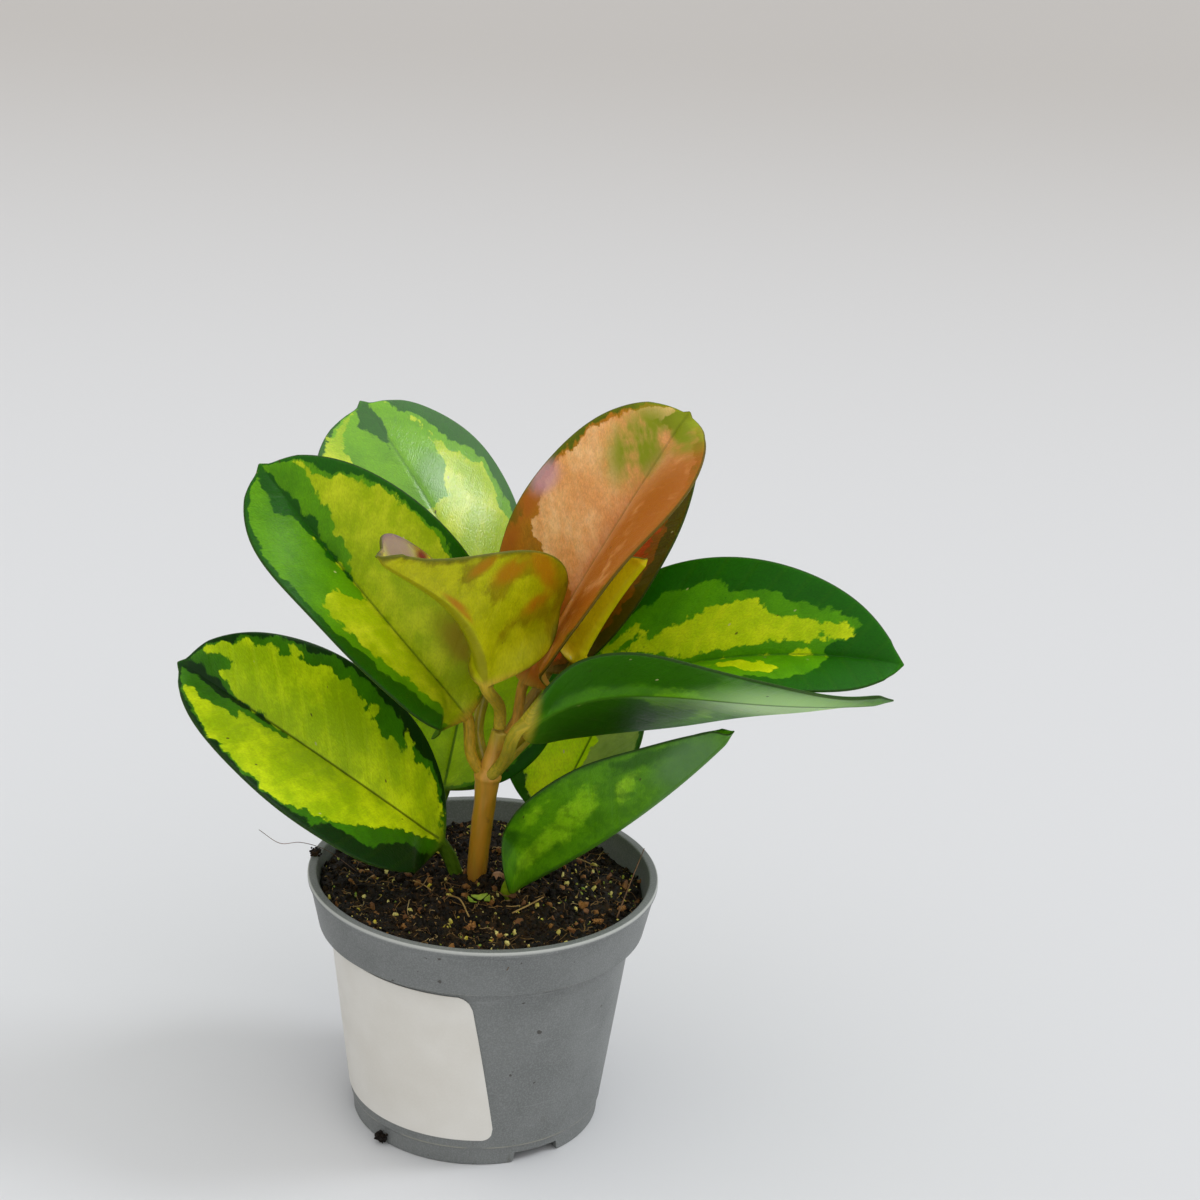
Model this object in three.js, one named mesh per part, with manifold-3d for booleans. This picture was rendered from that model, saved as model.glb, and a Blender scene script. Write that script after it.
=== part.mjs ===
// A young tricolor wax plant in a small nursery pot.
// Millimetres, +Z up. The plant is laid out round the pot's axis, x = y = 0, with the foot
// at z = 0, and the whole is then moved so that its box's bottom centre is the origin.

import * as THREE from 'three';
import { mergeVertices } from 'three/addons/utils/BufferGeometryUtils.js';
import Module from 'manifold-3d';

const wasm = await Module();
wasm.setup();

// Clearance between pieces that touch
const GAP = 0.3;

// The pot: a moulded cup with a deep collar and a notched foot
const POT_SIDES = 48;
const POT = {
  height: 45,
  rimRadius: 30,
  collarDrop: 9,
  collarRadius: 28,
  bodyRadius: 26,
  creaseHeight: 3.7,
  creaseRadius: 22,
  footRadius: 21.6,
  wall: 1.1,
  lipWall: 1.5,
  floorHeight: 2.2,
  floorThickness: 1.3,
  ledgeRise: 0.7,
};
const NOTCH = { count: 3, firstAngle: -60, width: 8.6, height: 2 };
const DRAIN = { count: 6, circle: 13, radius: 2.4, sides: 16 };

// The label: a thin paper sheet on the left front of the body, with a slanted right edge
const LABEL = {
  thickness: 0.35,
  lowHeight: 5.3,
  topHeight: 34.4,
  leftAngle: -188,
  lowRightAngle: -81,
  topRightAngle: -93,
  corner: 0.12,
  columns: 24,
  rows: 10,
};

// The soil: a low mound with a few hollows, and plain holes for the stalks
const SOIL = {
  edgeHeight: 40.6,
  mound: 0.9,
  bump: 0.5,
  rings: 7,
  sides: 40,
};

// The standing stem: its middle line, each point with the radius there
const STEM = [
  { at: [-1.5, 3, 31], radius: 1.6 },
  { at: [-1.3, 3, 40], radius: 1.65 },
  { at: [-0.8, 3, 49], radius: 1.8 },
  { at: [-0.1, 3, 58], radius: 1.9 },
  { at: [0.1, 3, 61.2], radius: 2.2 },
  { at: [0.4, 3, 62.8], radius: 1.75 },
  { at: [1.1, 3, 66], radius: 1.45 },
  { at: [1.8, 3, 69.6], radius: 1.35 },
];
// The cut stub beside its foot
const STUB = [
  { at: [2.7, 3.2, 34], radius: 1.2 },
  { at: [2.6, 3.2, 40.5], radius: 1.25 },
  { at: [2.4, 3, 43], radius: 1.1 },
];
const STALK_SIDES = 12;

// Blade grid: rings from base to tip, and points across each face
const BLADE_RINGS = 14;
const PETIOLE_RINGS = 5;
const ACROSS = 9;
// Blade thickness, full, at the midrib and at the margin
const RIB_THICKNESS = 1.7;
const BLADE_THICKNESS = 0.9;
const MARGIN_THICKNESS = 0.6;
// Half width of the blunt end of the tip
const TIP_HALF_WIDTH = 0.35;

// Each leaf, in the words used by bladePoint below:
//   petiole   points of the stalk, from its root to the blade
//   base, tip ends of the midrib
//   face      where the upper face looks
//   width     of the flat blade; widest is where its left and right half are, 0 at the base
//   bow       how far the midrib arches out on the upper side
//   sway      how far it bends to the right, seen on the upper face with the tip up
//   peak      where along the midrib the bow and the sway are greatest
//   share     the width of the left and right half, as a share of half the width
//   fold      slope of the left and right half at the midrib, upwards, in degrees
//   rim       the same at the margin
//   open      how much of the fold is gone at the tip, 0 to 1
//   twist     turn of the tip about the midrib, in degrees
//   drip      length of the drawn-out point
const LEAVES = [
  {
    name: 'leaf_low_left',
    petiole: [[-4.6, 5.2, 32], [-4.7, 5, 41]],
    stalk: 1.2,
    base: [-7.7, 3.5, 48.3],
    tip: [-50.3, -12, 86.1],
    face: [0, -0.74, 0.67],
    width: 34, widest: [0.5, 0.5], drip: 1.5,
    bow: 2.5, sway: -0.5, peak: 0.5, twist: 0, open: 0.3,
    share: [1, 1],
    fold: [40, 4], rim: [30, -6],
    colour: '#8fa80a',
  },
  {
    name: 'leaf_upper_left',
    petiole: [[-0.1, 3, 60.5], [-2.8, 3, 65]],
    stalk: 1,
    base: [-3.8, 5, 71.3],
    tip: [-38.1, -5, 117.7],
    face: [0.05, -0.94, 0.35],
    width: 36, widest: [0.49, 0.49], drip: 1.5,
    bow: 2, sway: -0.5, peak: 0.5, twist: 0, open: 0.85,
    share: [0.92, 1],
    fold: [66, 14], rim: [64, 16],
    colour: '#9fae14',
  },
  {
    name: 'leaf_top_left',
    petiole: [[0, 4.2, 61.8], [-1.9, 7.2, 68]],
    stalk: 1,
    base: [0.8, 11, 83],
    tip: [-24.2, 28, 119.4],
    face: [0.1, -0.5, 0.86],
    width: 37, widest: [0.55, 0.55], drip: 1.5,
    bow: 3, sway: 0, peak: 0.5, twist: 0, open: 0.2,
    share: [1, 1],
    fold: [0, -4], rim: [-6, -26],
    colour: '#8fb41c',
  },
  {
    name: 'leaf_salmon',
    petiole: [[1.4, 3, 66.6], [4.3, 3.7, 70.6]],
    stalk: 0.9,
    base: [5.6, 5, 78],
    tip: [30.6, 4, 126.7],
    face: [-0.2, -0.9, 0.3],
    width: 33, widest: [0.52, 0.52], drip: 1,
    bow: 2, sway: 0, peak: 0.5, twist: 0, open: 0.6,
    share: [1, 1],
    fold: [4, 72], rim: [-12, 72],
    colour: '#c98a5a',
  },
  {
    name: 'leaf_orange',
    petiole: [[1.2, 3.4, 65.6], [4.6, 8.4, 69.5]],
    stalk: 0.9,
    base: [9.8, 15, 76],
    tip: [29, 28, 120.4],
    face: [-0.3, -0.8, 0.5],
    width: 26, widest: [0.58, 0.58], drip: 1,
    bow: 2, sway: 0, peak: 0.5, twist: 0, open: 0,
    share: [0.7, 1],
    fold: [10, 15], rim: [10, 15],
    colour: '#a8501c',
  },
  {
    name: 'leaf_folded',
    petiole: [[2.9, 2, 66.0], [7.6, 2.8, 71]],
    stalk: 0.8,
    base: [13.8, 4, 81.8],
    tip: [25.1, 5, 100.9],
    face: [-0.3, 0.8, 0.5],
    width: 15, widest: [0.45, 0.45], drip: 2,
    bow: 1, sway: 0, peak: 0.5, twist: 0, open: 0,
    share: [1, 1],
    fold: [50, 50], rim: [50, 50],
    colour: '#8a7a1a',
  },
  {
    name: 'leaf_front_small',
    petiole: [[1.8, 2.8, 70.5], [1.7, 2, 74]],
    stalk: 1.05,
    base: [-1, -8.6, 82.9],
    tip: [-17.9, -27.4, 110.9],
    face: [-0.42, 0.8, 0.52],
    width: 34, widest: [0.27, 0.7], drip: 2,
    bow: 1.4, sway: -3.7, peak: 0.41, twist: -40, open: 0.33,
    share: [1.1, 0.4],
    fold: [25, 86], rim: [25, 81],
    colour: '#8f8a1e',
  },
  {
    name: 'leaf_right_upper',
    petiole: [[0.8, 3.6, 61], [5, 7, 65]],
    stalk: 1.1,
    base: [14.2, 15, 71.1],
    tip: [68.1, -4, 87.1],
    face: [0, -0.93, 0.37],
    width: 35, widest: [0.46, 0.46], drip: 2,
    bow: 1, sway: -4, peak: 0.5, twist: 0, open: 0.6,
    share: [1, 0.8],
    fold: [2, 75], rim: [-2, 70],
    colour: '#7a9a10',
  },
  {
    name: 'leaf_right_mid',
    petiole: [[0.3, 2, 61.4], [2.6, 0.5, 65]],
    stalk: 1.1,
    base: [5.5, -13.7, 78],
    tip: [65.1, -14.8, 85.2],
    face: [-0.05, 0.93, 0.71],
    width: 37, widest: [0.33, 0.33], drip: 5,
    bow: 6, sway: -1.4, peak: 0.26, twist: 20, open: 0,
    share: [1.08, 0.72],
    fold: [7, 9], rim: [2, -4],
    colour: '#2e5c14',
  },
  {
    name: 'leaf_right_low',
    petiole: [[4.2, -1.4, 32], [4.2, -1.4, 40]],
    stalk: 1.3,
    base: [4.9, -2.5, 43.7],
    tip: [39.9, -12, 77.6],
    face: [-0.45, 0.1, 0.88],
    width: 31, widest: [0.42, 0.42], drip: 2,
    bow: -2, sway: 0, peak: 0.5, twist: 0, open: 0,
    share: [1, 1],
    fold: [20, 65], rim: [15, 60],
    colour: '#3a6a1c',
  },
  {
    name: 'leaf_back_stem',
    petiole: [[-12, 12, 32], [-12, 12, 41]],
    stalk: 1.2,
    base: [-7.5, 13, 54],
    tip: [-1.4, 27, 86],
    face: [0, -0.9, 0.4],
    width: 34, widest: [0.5, 0.5], drip: 2,
    bow: 2, sway: 0, peak: 0.5, twist: 0, open: 0,
    share: [1, 1],
    fold: [10, 10], rim: [0, 0],
    colour: '#6a9a18',
  },
  {
    name: 'leaf_back_right',
    petiole: [[7.9, 17.5, 32], [7.9, 17.5, 40]],
    stalk: 1.2,
    base: [11.2, 17, 46.5],
    tip: [24.2, 31, 70],
    face: [0, -0.9, 0.4],
    width: 30, widest: [0.5, 0.5], drip: 2,
    bow: 2, sway: 0, peak: 0.5, twist: 0, open: 0,
    share: [1, 1],
    fold: [10, 60], rim: [0, 60],
    colour: '#8fae1a',
  },
];

const radians = THREE.MathUtils.degToRad;
const vector = (point) => new THREE.Vector3(...point);
const mix = THREE.MathUtils.lerp;
const smooth = THREE.MathUtils.smoothstep;

// A closed mesh from positions and triangle indices
function meshGeometry(positions, indices) {
  const geometry = new THREE.BufferGeometry();
  geometry.setAttribute('position', new THREE.Float32BufferAttribute(positions, 3));
  geometry.setIndex(indices);
  return geometry;
}

// A geometry as a solid that can be cut and joined
function solid(geometry) {
  const bare = geometry.clone();
  for (const name of Object.keys(bare.attributes)) {
    if (name !== 'position') bare.deleteAttribute(name);
  }
  const merged = mergeVertices(bare, 1e-4);
  return new wasm.Manifold(new wasm.Mesh({
    numProp: 3,
    vertProperties: new Float32Array(merged.attributes.position.array),
    triVerts: new Uint32Array(merged.index.array),
  }));
}

// A solid back as a geometry
function geometryOf(body) {
  const mesh = body.getMesh();
  const geometry = meshGeometry(Array.from(mesh.vertProperties), Array.from(mesh.triVerts));
  return geometry;
}

// Rings of equally many points, an even number, joined by side faces and closed at each end
// by a strip between the two halves of the ring
function loft(rings) {
  const size = rings[0].length;
  const positions = rings.flat().flatMap((p) => [p.x, p.y, p.z]);
  const indices = [];
  for (let r = 0; r + 1 < rings.length; r += 1) {
    for (let k = 0; k < size; k += 1) {
      const a = r * size + k;
      const b = r * size + ((k + 1) % size);
      // Both halves of the ring are split alike, so that the two faces of a blade match
      if (k < size / 2) indices.push(a, b, a + size, b, b + size, a + size);
      else indices.push(a, b, b + size, a, b + size, a + size);
    }
  }
  const last = (rings.length - 1) * size;
  for (let k = 0; k + 1 < size / 2; k += 1) {
    const quad = [k, k + 1, size - 2 - k, size - 1 - k];
    for (const [a, b, c] of [[quad[0], quad[1], quad[2]], [quad[0], quad[2], quad[3]]]) {
      indices.push(a, c, b);
      indices.push(last + a, last + b, last + c);
    }
  }
  return meshGeometry(positions, indices);
}

// A round stalk along points with radii, given some more room all round
function stalk(points, room = 0) {
  const curve = new THREE.CatmullRomCurve3(points.map((p) => vector(p.at)), false, 'centripetal');
  const rings = points.map((p, i) => {
    const t = i / (points.length - 1);
    const along = curve.getTangent(t);
    const side = new THREE.Vector3(1, 0, 0).addScaledVector(along, -along.x).normalize();
    const front = along.clone().cross(side);
    const centre = vector(p.at);
    if (i === 0) centre.addScaledVector(along, -room);
    if (i === points.length - 1) centre.addScaledVector(along, room);
    return Array.from({ length: STALK_SIDES }, (_, k) => {
      const angle = (2 * Math.PI * k) / STALK_SIDES;
      return centre.clone()
        .addScaledVector(side, (p.radius + room) * Math.cos(angle))
        .addScaledVector(front, (p.radius + room) * Math.sin(angle));
    });
  });
  return loft(rings);
}

// The width of one half of the blade at t, from the round base at 0 to the point at 1
function halfWidth(leaf, t, half) {
  const length = vector(leaf.tip).distanceTo(vector(leaf.base));
  const bodyEnd = 1 - leaf.drip / length;
  const s = Math.min(t / bodyEnd, 1);
  const roundness = 0.55;
  const widest = leaf.widest[half];
  const point = (roundness * (1 - widest)) / widest;
  const body = (s / widest) ** roundness * ((1 - s) / (1 - widest)) ** point;
  const flat = (leaf.width / 2) * leaf.share[half] * body;
  const drawn = TIP_HALF_WIDTH + 0.3 * length * (1 - t);
  return Math.max(Math.hypot(flat, Math.min(drawn, leaf.stalk)), TIP_HALF_WIDTH);
}

// The frame of a leaf: its midrib, its length and its directions
function leafFrame(leaf) {
  const base = vector(leaf.base);
  const along = vector(leaf.tip).sub(base);
  const length = along.length();
  along.normalize();
  const up = vector(leaf.face);
  up.addScaledVector(along, -up.dot(along)).normalize();
  const right = along.clone().cross(up);
  const lean = Math.log(0.5) / Math.log(1 - leaf.peak);
  const midrib = (t) => {
    const u = 1 - (1 - t) ** lean;
    const arch = 4 * u * (1 - u);
    return base.clone()
      .addScaledVector(along, length * t)
      .addScaledVector(up, leaf.bow * arch)
      .addScaledVector(right, leaf.sway * arch);
  };
  return { up, midrib };
}

// One point of the blade's ring: v runs from -1 at the left margin to 1 at the right one,
// and level is 1 on the upper face and -1 on the lower one
function bladePoint(leaf, frame, t, v, level) {
  const { midrib, up } = frame;
  const step = 0.01;
  const along = midrib(Math.min(t + step, 1)).sub(midrib(Math.max(t - step, 0))).normalize();
  const lift = up.clone().addScaledVector(along, -up.dot(along)).normalize();
  lift.applyAxisAngle(along, radians(leaf.twist * t));
  const right = along.clone().cross(lift);
  const half = v < 0 ? 0 : 1;
  const reach = Math.abs(v);
  const closed = smooth(t, 0, 0.14) * (1 - leaf.open * t ** 4) * smooth(1 - t, 0, 0.04);
  const folds = leaf.fold.map((slope) => radians(slope) * closed);
  const slope = mix(folds[half], radians(leaf.rim[half]) * closed, reach);
  const mean = (folds[half] + slope) / 2;
  const full = halfWidth(leaf, t, half);
  const rib = RIB_THICKNESS * mix(1, 0.4, t) * Math.exp(-((full * reach / 1.6) ** 2));
  const thickness = mix(BLADE_THICKNESS, MARGIN_THICKNESS, reach ** 2);
  const flat = thickness / 2 + (level < 0 ? rib / 2 : 0);
  const round = leaf.stalk * Math.sqrt(Math.max(1 - v * v, 0.06));
  const depth = mix(round, flat, smooth(t, 0, 0.1));
  // The two halves meet over the midrib, in a mitre on the inside of the fold
  const crease = (folds[0] + folds[1]) / 2;
  const inside = level * crease > 0;
  const mitre = inside ? depth * Math.tan(Math.abs(crease)) : 0;
  const width = mix(mitre, full, reach);
  let out = Math.sign(v) * (width * Math.cos(mean) - level * depth * Math.sin(slope));
  let rise = width * Math.sin(mean) + level * depth * Math.cos(slope);
  if (v === 0) {
    const lean = (folds[0] - folds[1]) / 2;
    const corner = level * Math.hypot(depth, mitre);
    out = corner * Math.sin(lean);
    rise = corner * Math.cos(lean);
  }
  return midrib(t).addScaledVector(right, out).addScaledVector(lift, rise);
}

// The curve of a leaf's stalk, and where on it the blade starts
function stalkRoute(leaf, frame) {
  const route = [...leaf.petiole.map(vector), frame.midrib(0), frame.midrib(0.12)];
  const curve = new THREE.CatmullRomCurve3(route, false, 'centripetal');
  return { curve, end: leaf.petiole.length / (route.length - 1) };
}

// A leaf as one solid: its stalk, and the blade that it runs into
function leafGeometry(leaf) {
  const frame = leafFrame(leaf);
  const row = Array.from({ length: ACROSS }, (_, k) => -1 + (2 * k) / (ACROSS - 1));
  const places = [...row.map((v) => [v, 1]), ...row.map((v) => [-v, -1])];
  const blade = Array.from({ length: BLADE_RINGS + 1 }, (_, r) => {
    const t = (1 - Math.cos((Math.PI * r) / BLADE_RINGS)) / 2;
    return places.map(([v, level]) => bladePoint(leaf, frame, t, v, level));
  });
  const { curve, end } = stalkRoute(leaf, frame);
  const petiole = [];
  const lift = frame.up.clone();
  for (let r = PETIOLE_RINGS - 1; r >= 0; r -= 1) {
    const t = (end * r) / PETIOLE_RINGS;
    const along = curve.getTangent(t);
    lift.addScaledVector(along, -lift.dot(along)).normalize();
    const right = along.clone().cross(lift);
    petiole.unshift(places.map(([v, level]) => curve.getPoint(t)
      .addScaledVector(right, leaf.stalk * v)
      .addScaledVector(lift, level * leaf.stalk * Math.sqrt(Math.max(1 - v * v, 0.06)))));
  }
  return loft([...petiole, ...blade]);
}

// The outline of the pot's wall, turned round its axis
function potGeometry() {
  const { height, rimRadius, collarDrop, collarRadius, bodyRadius, creaseHeight } = POT;
  const { creaseRadius, footRadius, wall, lipWall, floorHeight, floorThickness, ledgeRise } = POT;
  const collarLow = height - collarDrop;
  const floorTop = floorHeight + floorThickness;
  const profile = [
    [0, floorHeight],
    [creaseRadius - wall - 1.2, floorHeight],
    [footRadius - wall - 0.6, 0],
    [footRadius - 0.4, 0],
    [footRadius, 0.5],
    [creaseRadius, creaseHeight],
    [bodyRadius, collarLow],
    [collarRadius, collarLow],
    [rimRadius - 0.3, height - 1.2],
    [rimRadius, height - 0.7],
    [rimRadius, height - 0.2],
    [rimRadius - 0.3, height],
    [rimRadius - lipWall + 0.2, height],
    [rimRadius - lipWall, height - 0.3],
    [collarRadius - wall, collarLow + wall],
    [bodyRadius - wall, collarLow + ledgeRise],
    [creaseRadius - wall, creaseHeight],
    [creaseRadius - wall - 0.4, floorTop],
    [0, floorTop],
  ];
  const turned = new THREE.LatheGeometry(profile.map(([r, z]) => new THREE.Vector2(r, z)), POT_SIDES);
  turned.rotateX(Math.PI / 2);
  let body = solid(turned);
  for (let i = 0; i < NOTCH.count; i += 1) {
    const angle = radians(NOTCH.firstAngle + (360 * i) / NOTCH.count);
    const notch = new THREE.BoxGeometry(8, NOTCH.width, 2 * NOTCH.height);
    notch.translate(footRadius, 0, 0);
    notch.rotateZ(angle);
    body = body.subtract(solid(notch));
  }
  for (let i = 0; i < DRAIN.count; i += 1) {
    const angle = (2 * Math.PI * i) / DRAIN.count;
    const hole = new THREE.CylinderGeometry(DRAIN.radius, DRAIN.radius, 6, DRAIN.sides);
    hole.rotateX(Math.PI / 2);
    hole.translate(DRAIN.circle * Math.cos(angle), DRAIN.circle * Math.sin(angle), floorHeight);
    body = body.subtract(solid(hole));
  }
  return geometryOf(body);
}

// Radius of the pot's outside below the collar
function bodyRadiusAt(z) {
  const share = (z - POT.creaseHeight) / (POT.height - POT.collarDrop - POT.creaseHeight);
  return mix(POT.creaseRadius, POT.bodyRadius, share);
}

// The label: a grid of angles and heights, offset from the wall on both faces
function labelGeometry() {
  const { thickness, lowHeight, topHeight, leftAngle, lowRightAngle, topRightAngle } = LABEL;
  const { corner, columns, rows } = LABEL;
  const rings = Array.from({ length: columns + 1 }, (_, i) => {
    const u = i / columns;
    const edge = Math.min(u, 1 - u) / corner;
    const inset = edge < 1 ? (1 - Math.sqrt(1 - (1 - edge) ** 2)) * 3 : 0;
    const heights = Array.from({ length: rows + 1 }, (_, j) => (
      mix(lowHeight + inset, topHeight - inset, j / rows)));
    const place = (z, radial) => {
      const right = mix(lowRightAngle, topRightAngle, (z - lowHeight) / (topHeight - lowHeight));
      const angle = radians(mix(leftAngle, right, u));
      const r = bodyRadiusAt(z) + radial;
      return new THREE.Vector3(r * Math.cos(angle), r * Math.sin(angle), z);
    };
    const inner = heights.map((z) => place(z, GAP));
    const outer = heights.map((z) => place(z, GAP + thickness)).reverse();
    return [...inner, ...outer];
  });
  return loft(rings);
}

// Height of the soil's top at a place
function soilHeight(x, y) {
  const share = Math.hypot(x, y) / POT.rimRadius;
  const bumps = Math.sin(0.31 * x + 1.3) * Math.cos(0.27 * y - 0.4) + 0.6 * Math.sin(0.5 * y + 0.2 * x);
  return SOIL.edgeHeight + SOIL.mound * (1 - share ** 2) + SOIL.bump * bumps;
}

// The soil fills the pot up to its uneven top
function soilGeometry(holes) {
  const floorTop = POT.floorHeight + POT.floorThickness + GAP;
  const ledgeLow = POT.height - POT.collarDrop + POT.ledgeRise;
  const ledgeTop = POT.height - POT.collarDrop + POT.wall;
  const room = GAP + 0.15;
  const bodyInside = POT.bodyRadius - POT.wall - room;
  const collarInside = (z) => {
    const share = (z - ledgeTop) / (POT.height - ledgeTop);
    return mix(POT.collarRadius - POT.wall, POT.rimRadius - POT.lipWall, share) - room;
  };
  const circle = (radius, height) => Array.from({ length: SOIL.sides }, (_, k) => {
    const angle = (2 * Math.PI * k) / SOIL.sides;
    const x = radius * Math.cos(angle);
    const y = radius * Math.sin(angle);
    return new THREE.Vector3(x, y, height ?? soilHeight(x, y));
  });
  const lowRadius = POT.creaseRadius - POT.wall - 0.4 - GAP - 0.2;
  const rings = [
    circle(1, floorTop),
    circle(lowRadius, floorTop),
    circle(bodyInside, ledgeLow - room),
    circle(bodyInside, ledgeTop),
    circle(collarInside(ledgeTop + room) - 0.2, ledgeTop + room),
  ];
  const topRadius = collarInside(SOIL.edgeHeight - 1) - 0.1;
  for (let r = SOIL.rings; r >= 1; r -= 1) rings.push(circle((topRadius * r) / SOIL.rings));
  let body = solid(loft(rings));
  for (const hole of holes) body = body.subtract(solid(hole));
  return geometryOf(body);
}

// The stalk of a rooted leaf, as the hole that it stands in
function rootHole(leaf) {
  const { curve, end } = stalkRoute(leaf, leafFrame(leaf));
  const points = Array.from({ length: PETIOLE_RINGS + 1 }, (_, r) => {
    const { x, y, z } = curve.getPoint((end * r) / PETIOLE_RINGS);
    return { at: [x, y, z], radius: leaf.stalk * 1.1 };
  });
  return stalk(points, GAP);
}

function namedMesh(name, geometry, colour, roughness) {
  const material = new THREE.MeshStandardMaterial({ color: colour, roughness, metalness: 0 });
  const mesh = new THREE.Mesh(geometry, material);
  mesh.name = name;
  return mesh;
}

const isRooted = (leaf) => leaf.petiole[0][2] < SOIL.edgeHeight - 2;
const stemSolid = solid(stalk(STEM, GAP));
const holes = [stalk(STEM, GAP), stalk(STUB, GAP), ...LEAVES.filter(isRooted).map(rootHole)];

const plant = new THREE.Group();
plant.add(namedMesh('pot', potGeometry(), '#7d8381', 0.55));
plant.add(namedMesh('label', labelGeometry(), '#c8c3bb', 0.6));
plant.add(namedMesh('soil', soilGeometry(holes), '#1e1812', 0.95));
plant.add(namedMesh('stem', stalk(STEM), '#a0701e', 0.5));
plant.add(namedMesh('stub', stalk(STUB), '#8a7040', 0.7));
for (const leaf of LEAVES) {
  const whole = leafGeometry(leaf);
  const geometry = isRooted(leaf) ? whole : geometryOf(solid(whole).subtract(stemSolid));
  plant.add(namedMesh(leaf.name, geometry, leaf.colour, 0.35));
}

const box = new THREE.Box3().setFromObject(plant);
plant.position.set(-(box.min.x + box.max.x) / 2, -(box.min.y + box.max.y) / 2, -box.min.z);

const part = new THREE.Group();
part.add(plant);
export default part;
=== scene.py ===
"""A young potted wax plant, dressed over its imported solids.

Lengths in the tables are millimetres, laid out round the pot's axis with its foot at z = 0.
"""

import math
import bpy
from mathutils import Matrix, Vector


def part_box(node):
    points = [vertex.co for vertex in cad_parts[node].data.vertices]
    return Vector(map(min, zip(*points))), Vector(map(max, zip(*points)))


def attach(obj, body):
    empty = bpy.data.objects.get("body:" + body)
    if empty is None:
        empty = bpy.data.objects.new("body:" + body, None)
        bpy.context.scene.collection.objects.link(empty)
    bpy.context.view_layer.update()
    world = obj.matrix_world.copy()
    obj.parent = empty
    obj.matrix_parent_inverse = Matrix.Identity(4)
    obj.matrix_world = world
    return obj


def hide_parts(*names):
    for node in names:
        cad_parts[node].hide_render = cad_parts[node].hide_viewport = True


bl_info = {
    "name": "Potted Wax Plant",
    "version": (1, 0, 0),
    "blender": (4, 5, 0),
    "location": "3D View > Sidebar > Wax Plant",
    "description": "Builds the leaves, stem, soil, pot and label of a young potted wax plant",
    "category": "Add Mesh",
}

import bpy
import numpy as np
from bpy.props import FloatProperty, FloatVectorProperty, IntProperty, PointerProperty
from mathutils import Matrix, Vector, noise

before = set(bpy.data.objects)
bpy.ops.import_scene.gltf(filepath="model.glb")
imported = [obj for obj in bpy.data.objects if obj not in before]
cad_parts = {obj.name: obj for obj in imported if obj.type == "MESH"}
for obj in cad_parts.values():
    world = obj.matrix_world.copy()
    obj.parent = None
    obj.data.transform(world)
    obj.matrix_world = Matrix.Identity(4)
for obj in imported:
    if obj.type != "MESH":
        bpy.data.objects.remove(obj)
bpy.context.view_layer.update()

MM = 0.001
POT_LOW, POT_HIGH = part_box("pot")
AXIS = (POT_LOW + POT_HIGH) / 2

# The pot's outline, as in the solid model
POT_HEIGHT = 45.0
RIM_RADIUS = 30.0
COLLAR_DROP = 9.0
COLLAR_RADIUS = 28.0
BODY_RADIUS = 26.0
CREASE_HEIGHT = 3.7
CREASE_RADIUS = 22.0
FOOT_RADIUS = 21.6
WALL = 1.1
LIP_WALL = 1.5
FLOOR_HEIGHT = 2.2
FLOOR_THICKNESS = 1.3
LEDGE_RISE = 0.7
NOTCH_COUNT, NOTCH_FIRST, NOTCH_WIDTH, NOTCH_HEIGHT = 3, -60.0, 8.6, 2.0
DRAIN_COUNT, DRAIN_CIRCLE, DRAIN_RADIUS = 6, 13.0, 2.4

# The label's place on the wall: heights, and angles seen from above
LABEL_LOW, LABEL_TOP = 5.3, 34.4
LABEL_LEFT, LABEL_RIGHT_LOW, LABEL_RIGHT_TOP = -188.0, -81.0, -93.0
# Its corners' radius, its lift off the wall, and the wall's mean radius under it
LABEL_CORNER, LABEL_LIFT, LABEL_WALL = 2.4, 0.06, 23.5

# The soil's top: its height at the wall, its mound, its bumps, and the heap at the front left
SOIL_EDGE, SOIL_MOUND, SOIL_BUMP, SOIL_HEAP = 40.6, 0.9, 0.5, 2.4
SOIL_RADIUS = 27.5
SOIL_SIDES, SOIL_RINGS = 320, 90
# How far over the soil's edge its top is taken to lie where a pixel is followed down to it
SOIL_SEEN = 1.0

# The camera, from the photograph: its distance from a point on the pot's axis, how steeply it
# stands over that point in degrees, and the point's height
CAMERA_DISTANCE, CAMERA_RISE, CAMERA_AIM_HEIGHT = 436.4, 27.62, 35.0
# Its turn to the right, its dip and its roll in degrees, and its lens and sensor
CAMERA_TURN, CAMERA_DIP, CAMERA_ROLL = 2.588, 20.182, 3.077
CAMERA_LENS, CAMERA_SENSOR = 75.0, 36.0
# The photograph's width in pixels, and the lens's length in them
PICTURE_SIZE = 1200
CAMERA_FOCUS = CAMERA_LENS / CAMERA_SENSOR * PICTURE_SIZE

# Litter, set by pixels of the photograph where it lies on the soil. Each straw has the pixels of
# its ends and middle, its radius and its height over the soil in mm
STRAWS = [
    ("straw_front", [(447, 903), (458, 905), (469, 920)], 0.13, 1.2),
    ("straw_right", [(543, 903), (530, 911), (512, 920)], 0.14, 1.4),
    ("straw_small", [(520, 909), (512, 910), (506, 909)], 0.1, 1.0),
    ("straw_star_1", [(413, 881), (423, 885), (431, 894)], 0.09, 1.0),
    ("straw_star_2", [(429, 877), (423, 886), (416, 894)], 0.08, 1.1),
    ("root_thread_back", [(560, 868), (575, 862), (590, 866)], 0.08, 1.0),
]
# Each seedling's pixel, its turn in radians, and its size
SEEDLINGS = [((479, 901), 0.3, 1.2), ((472, 906), 2.2, 1.0), ((487, 903), 1.2, 0.9)]
# Each chip's pixel and its size
BARK_CHIPS = [((598, 917), 1.1), ((622, 908), 0.9), ((571, 931), 0.9), ((470, 925), 1.2),
              ((445, 889), 0.8), ((640, 880), 0.8), ((500, 935), 0.7)]
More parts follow.
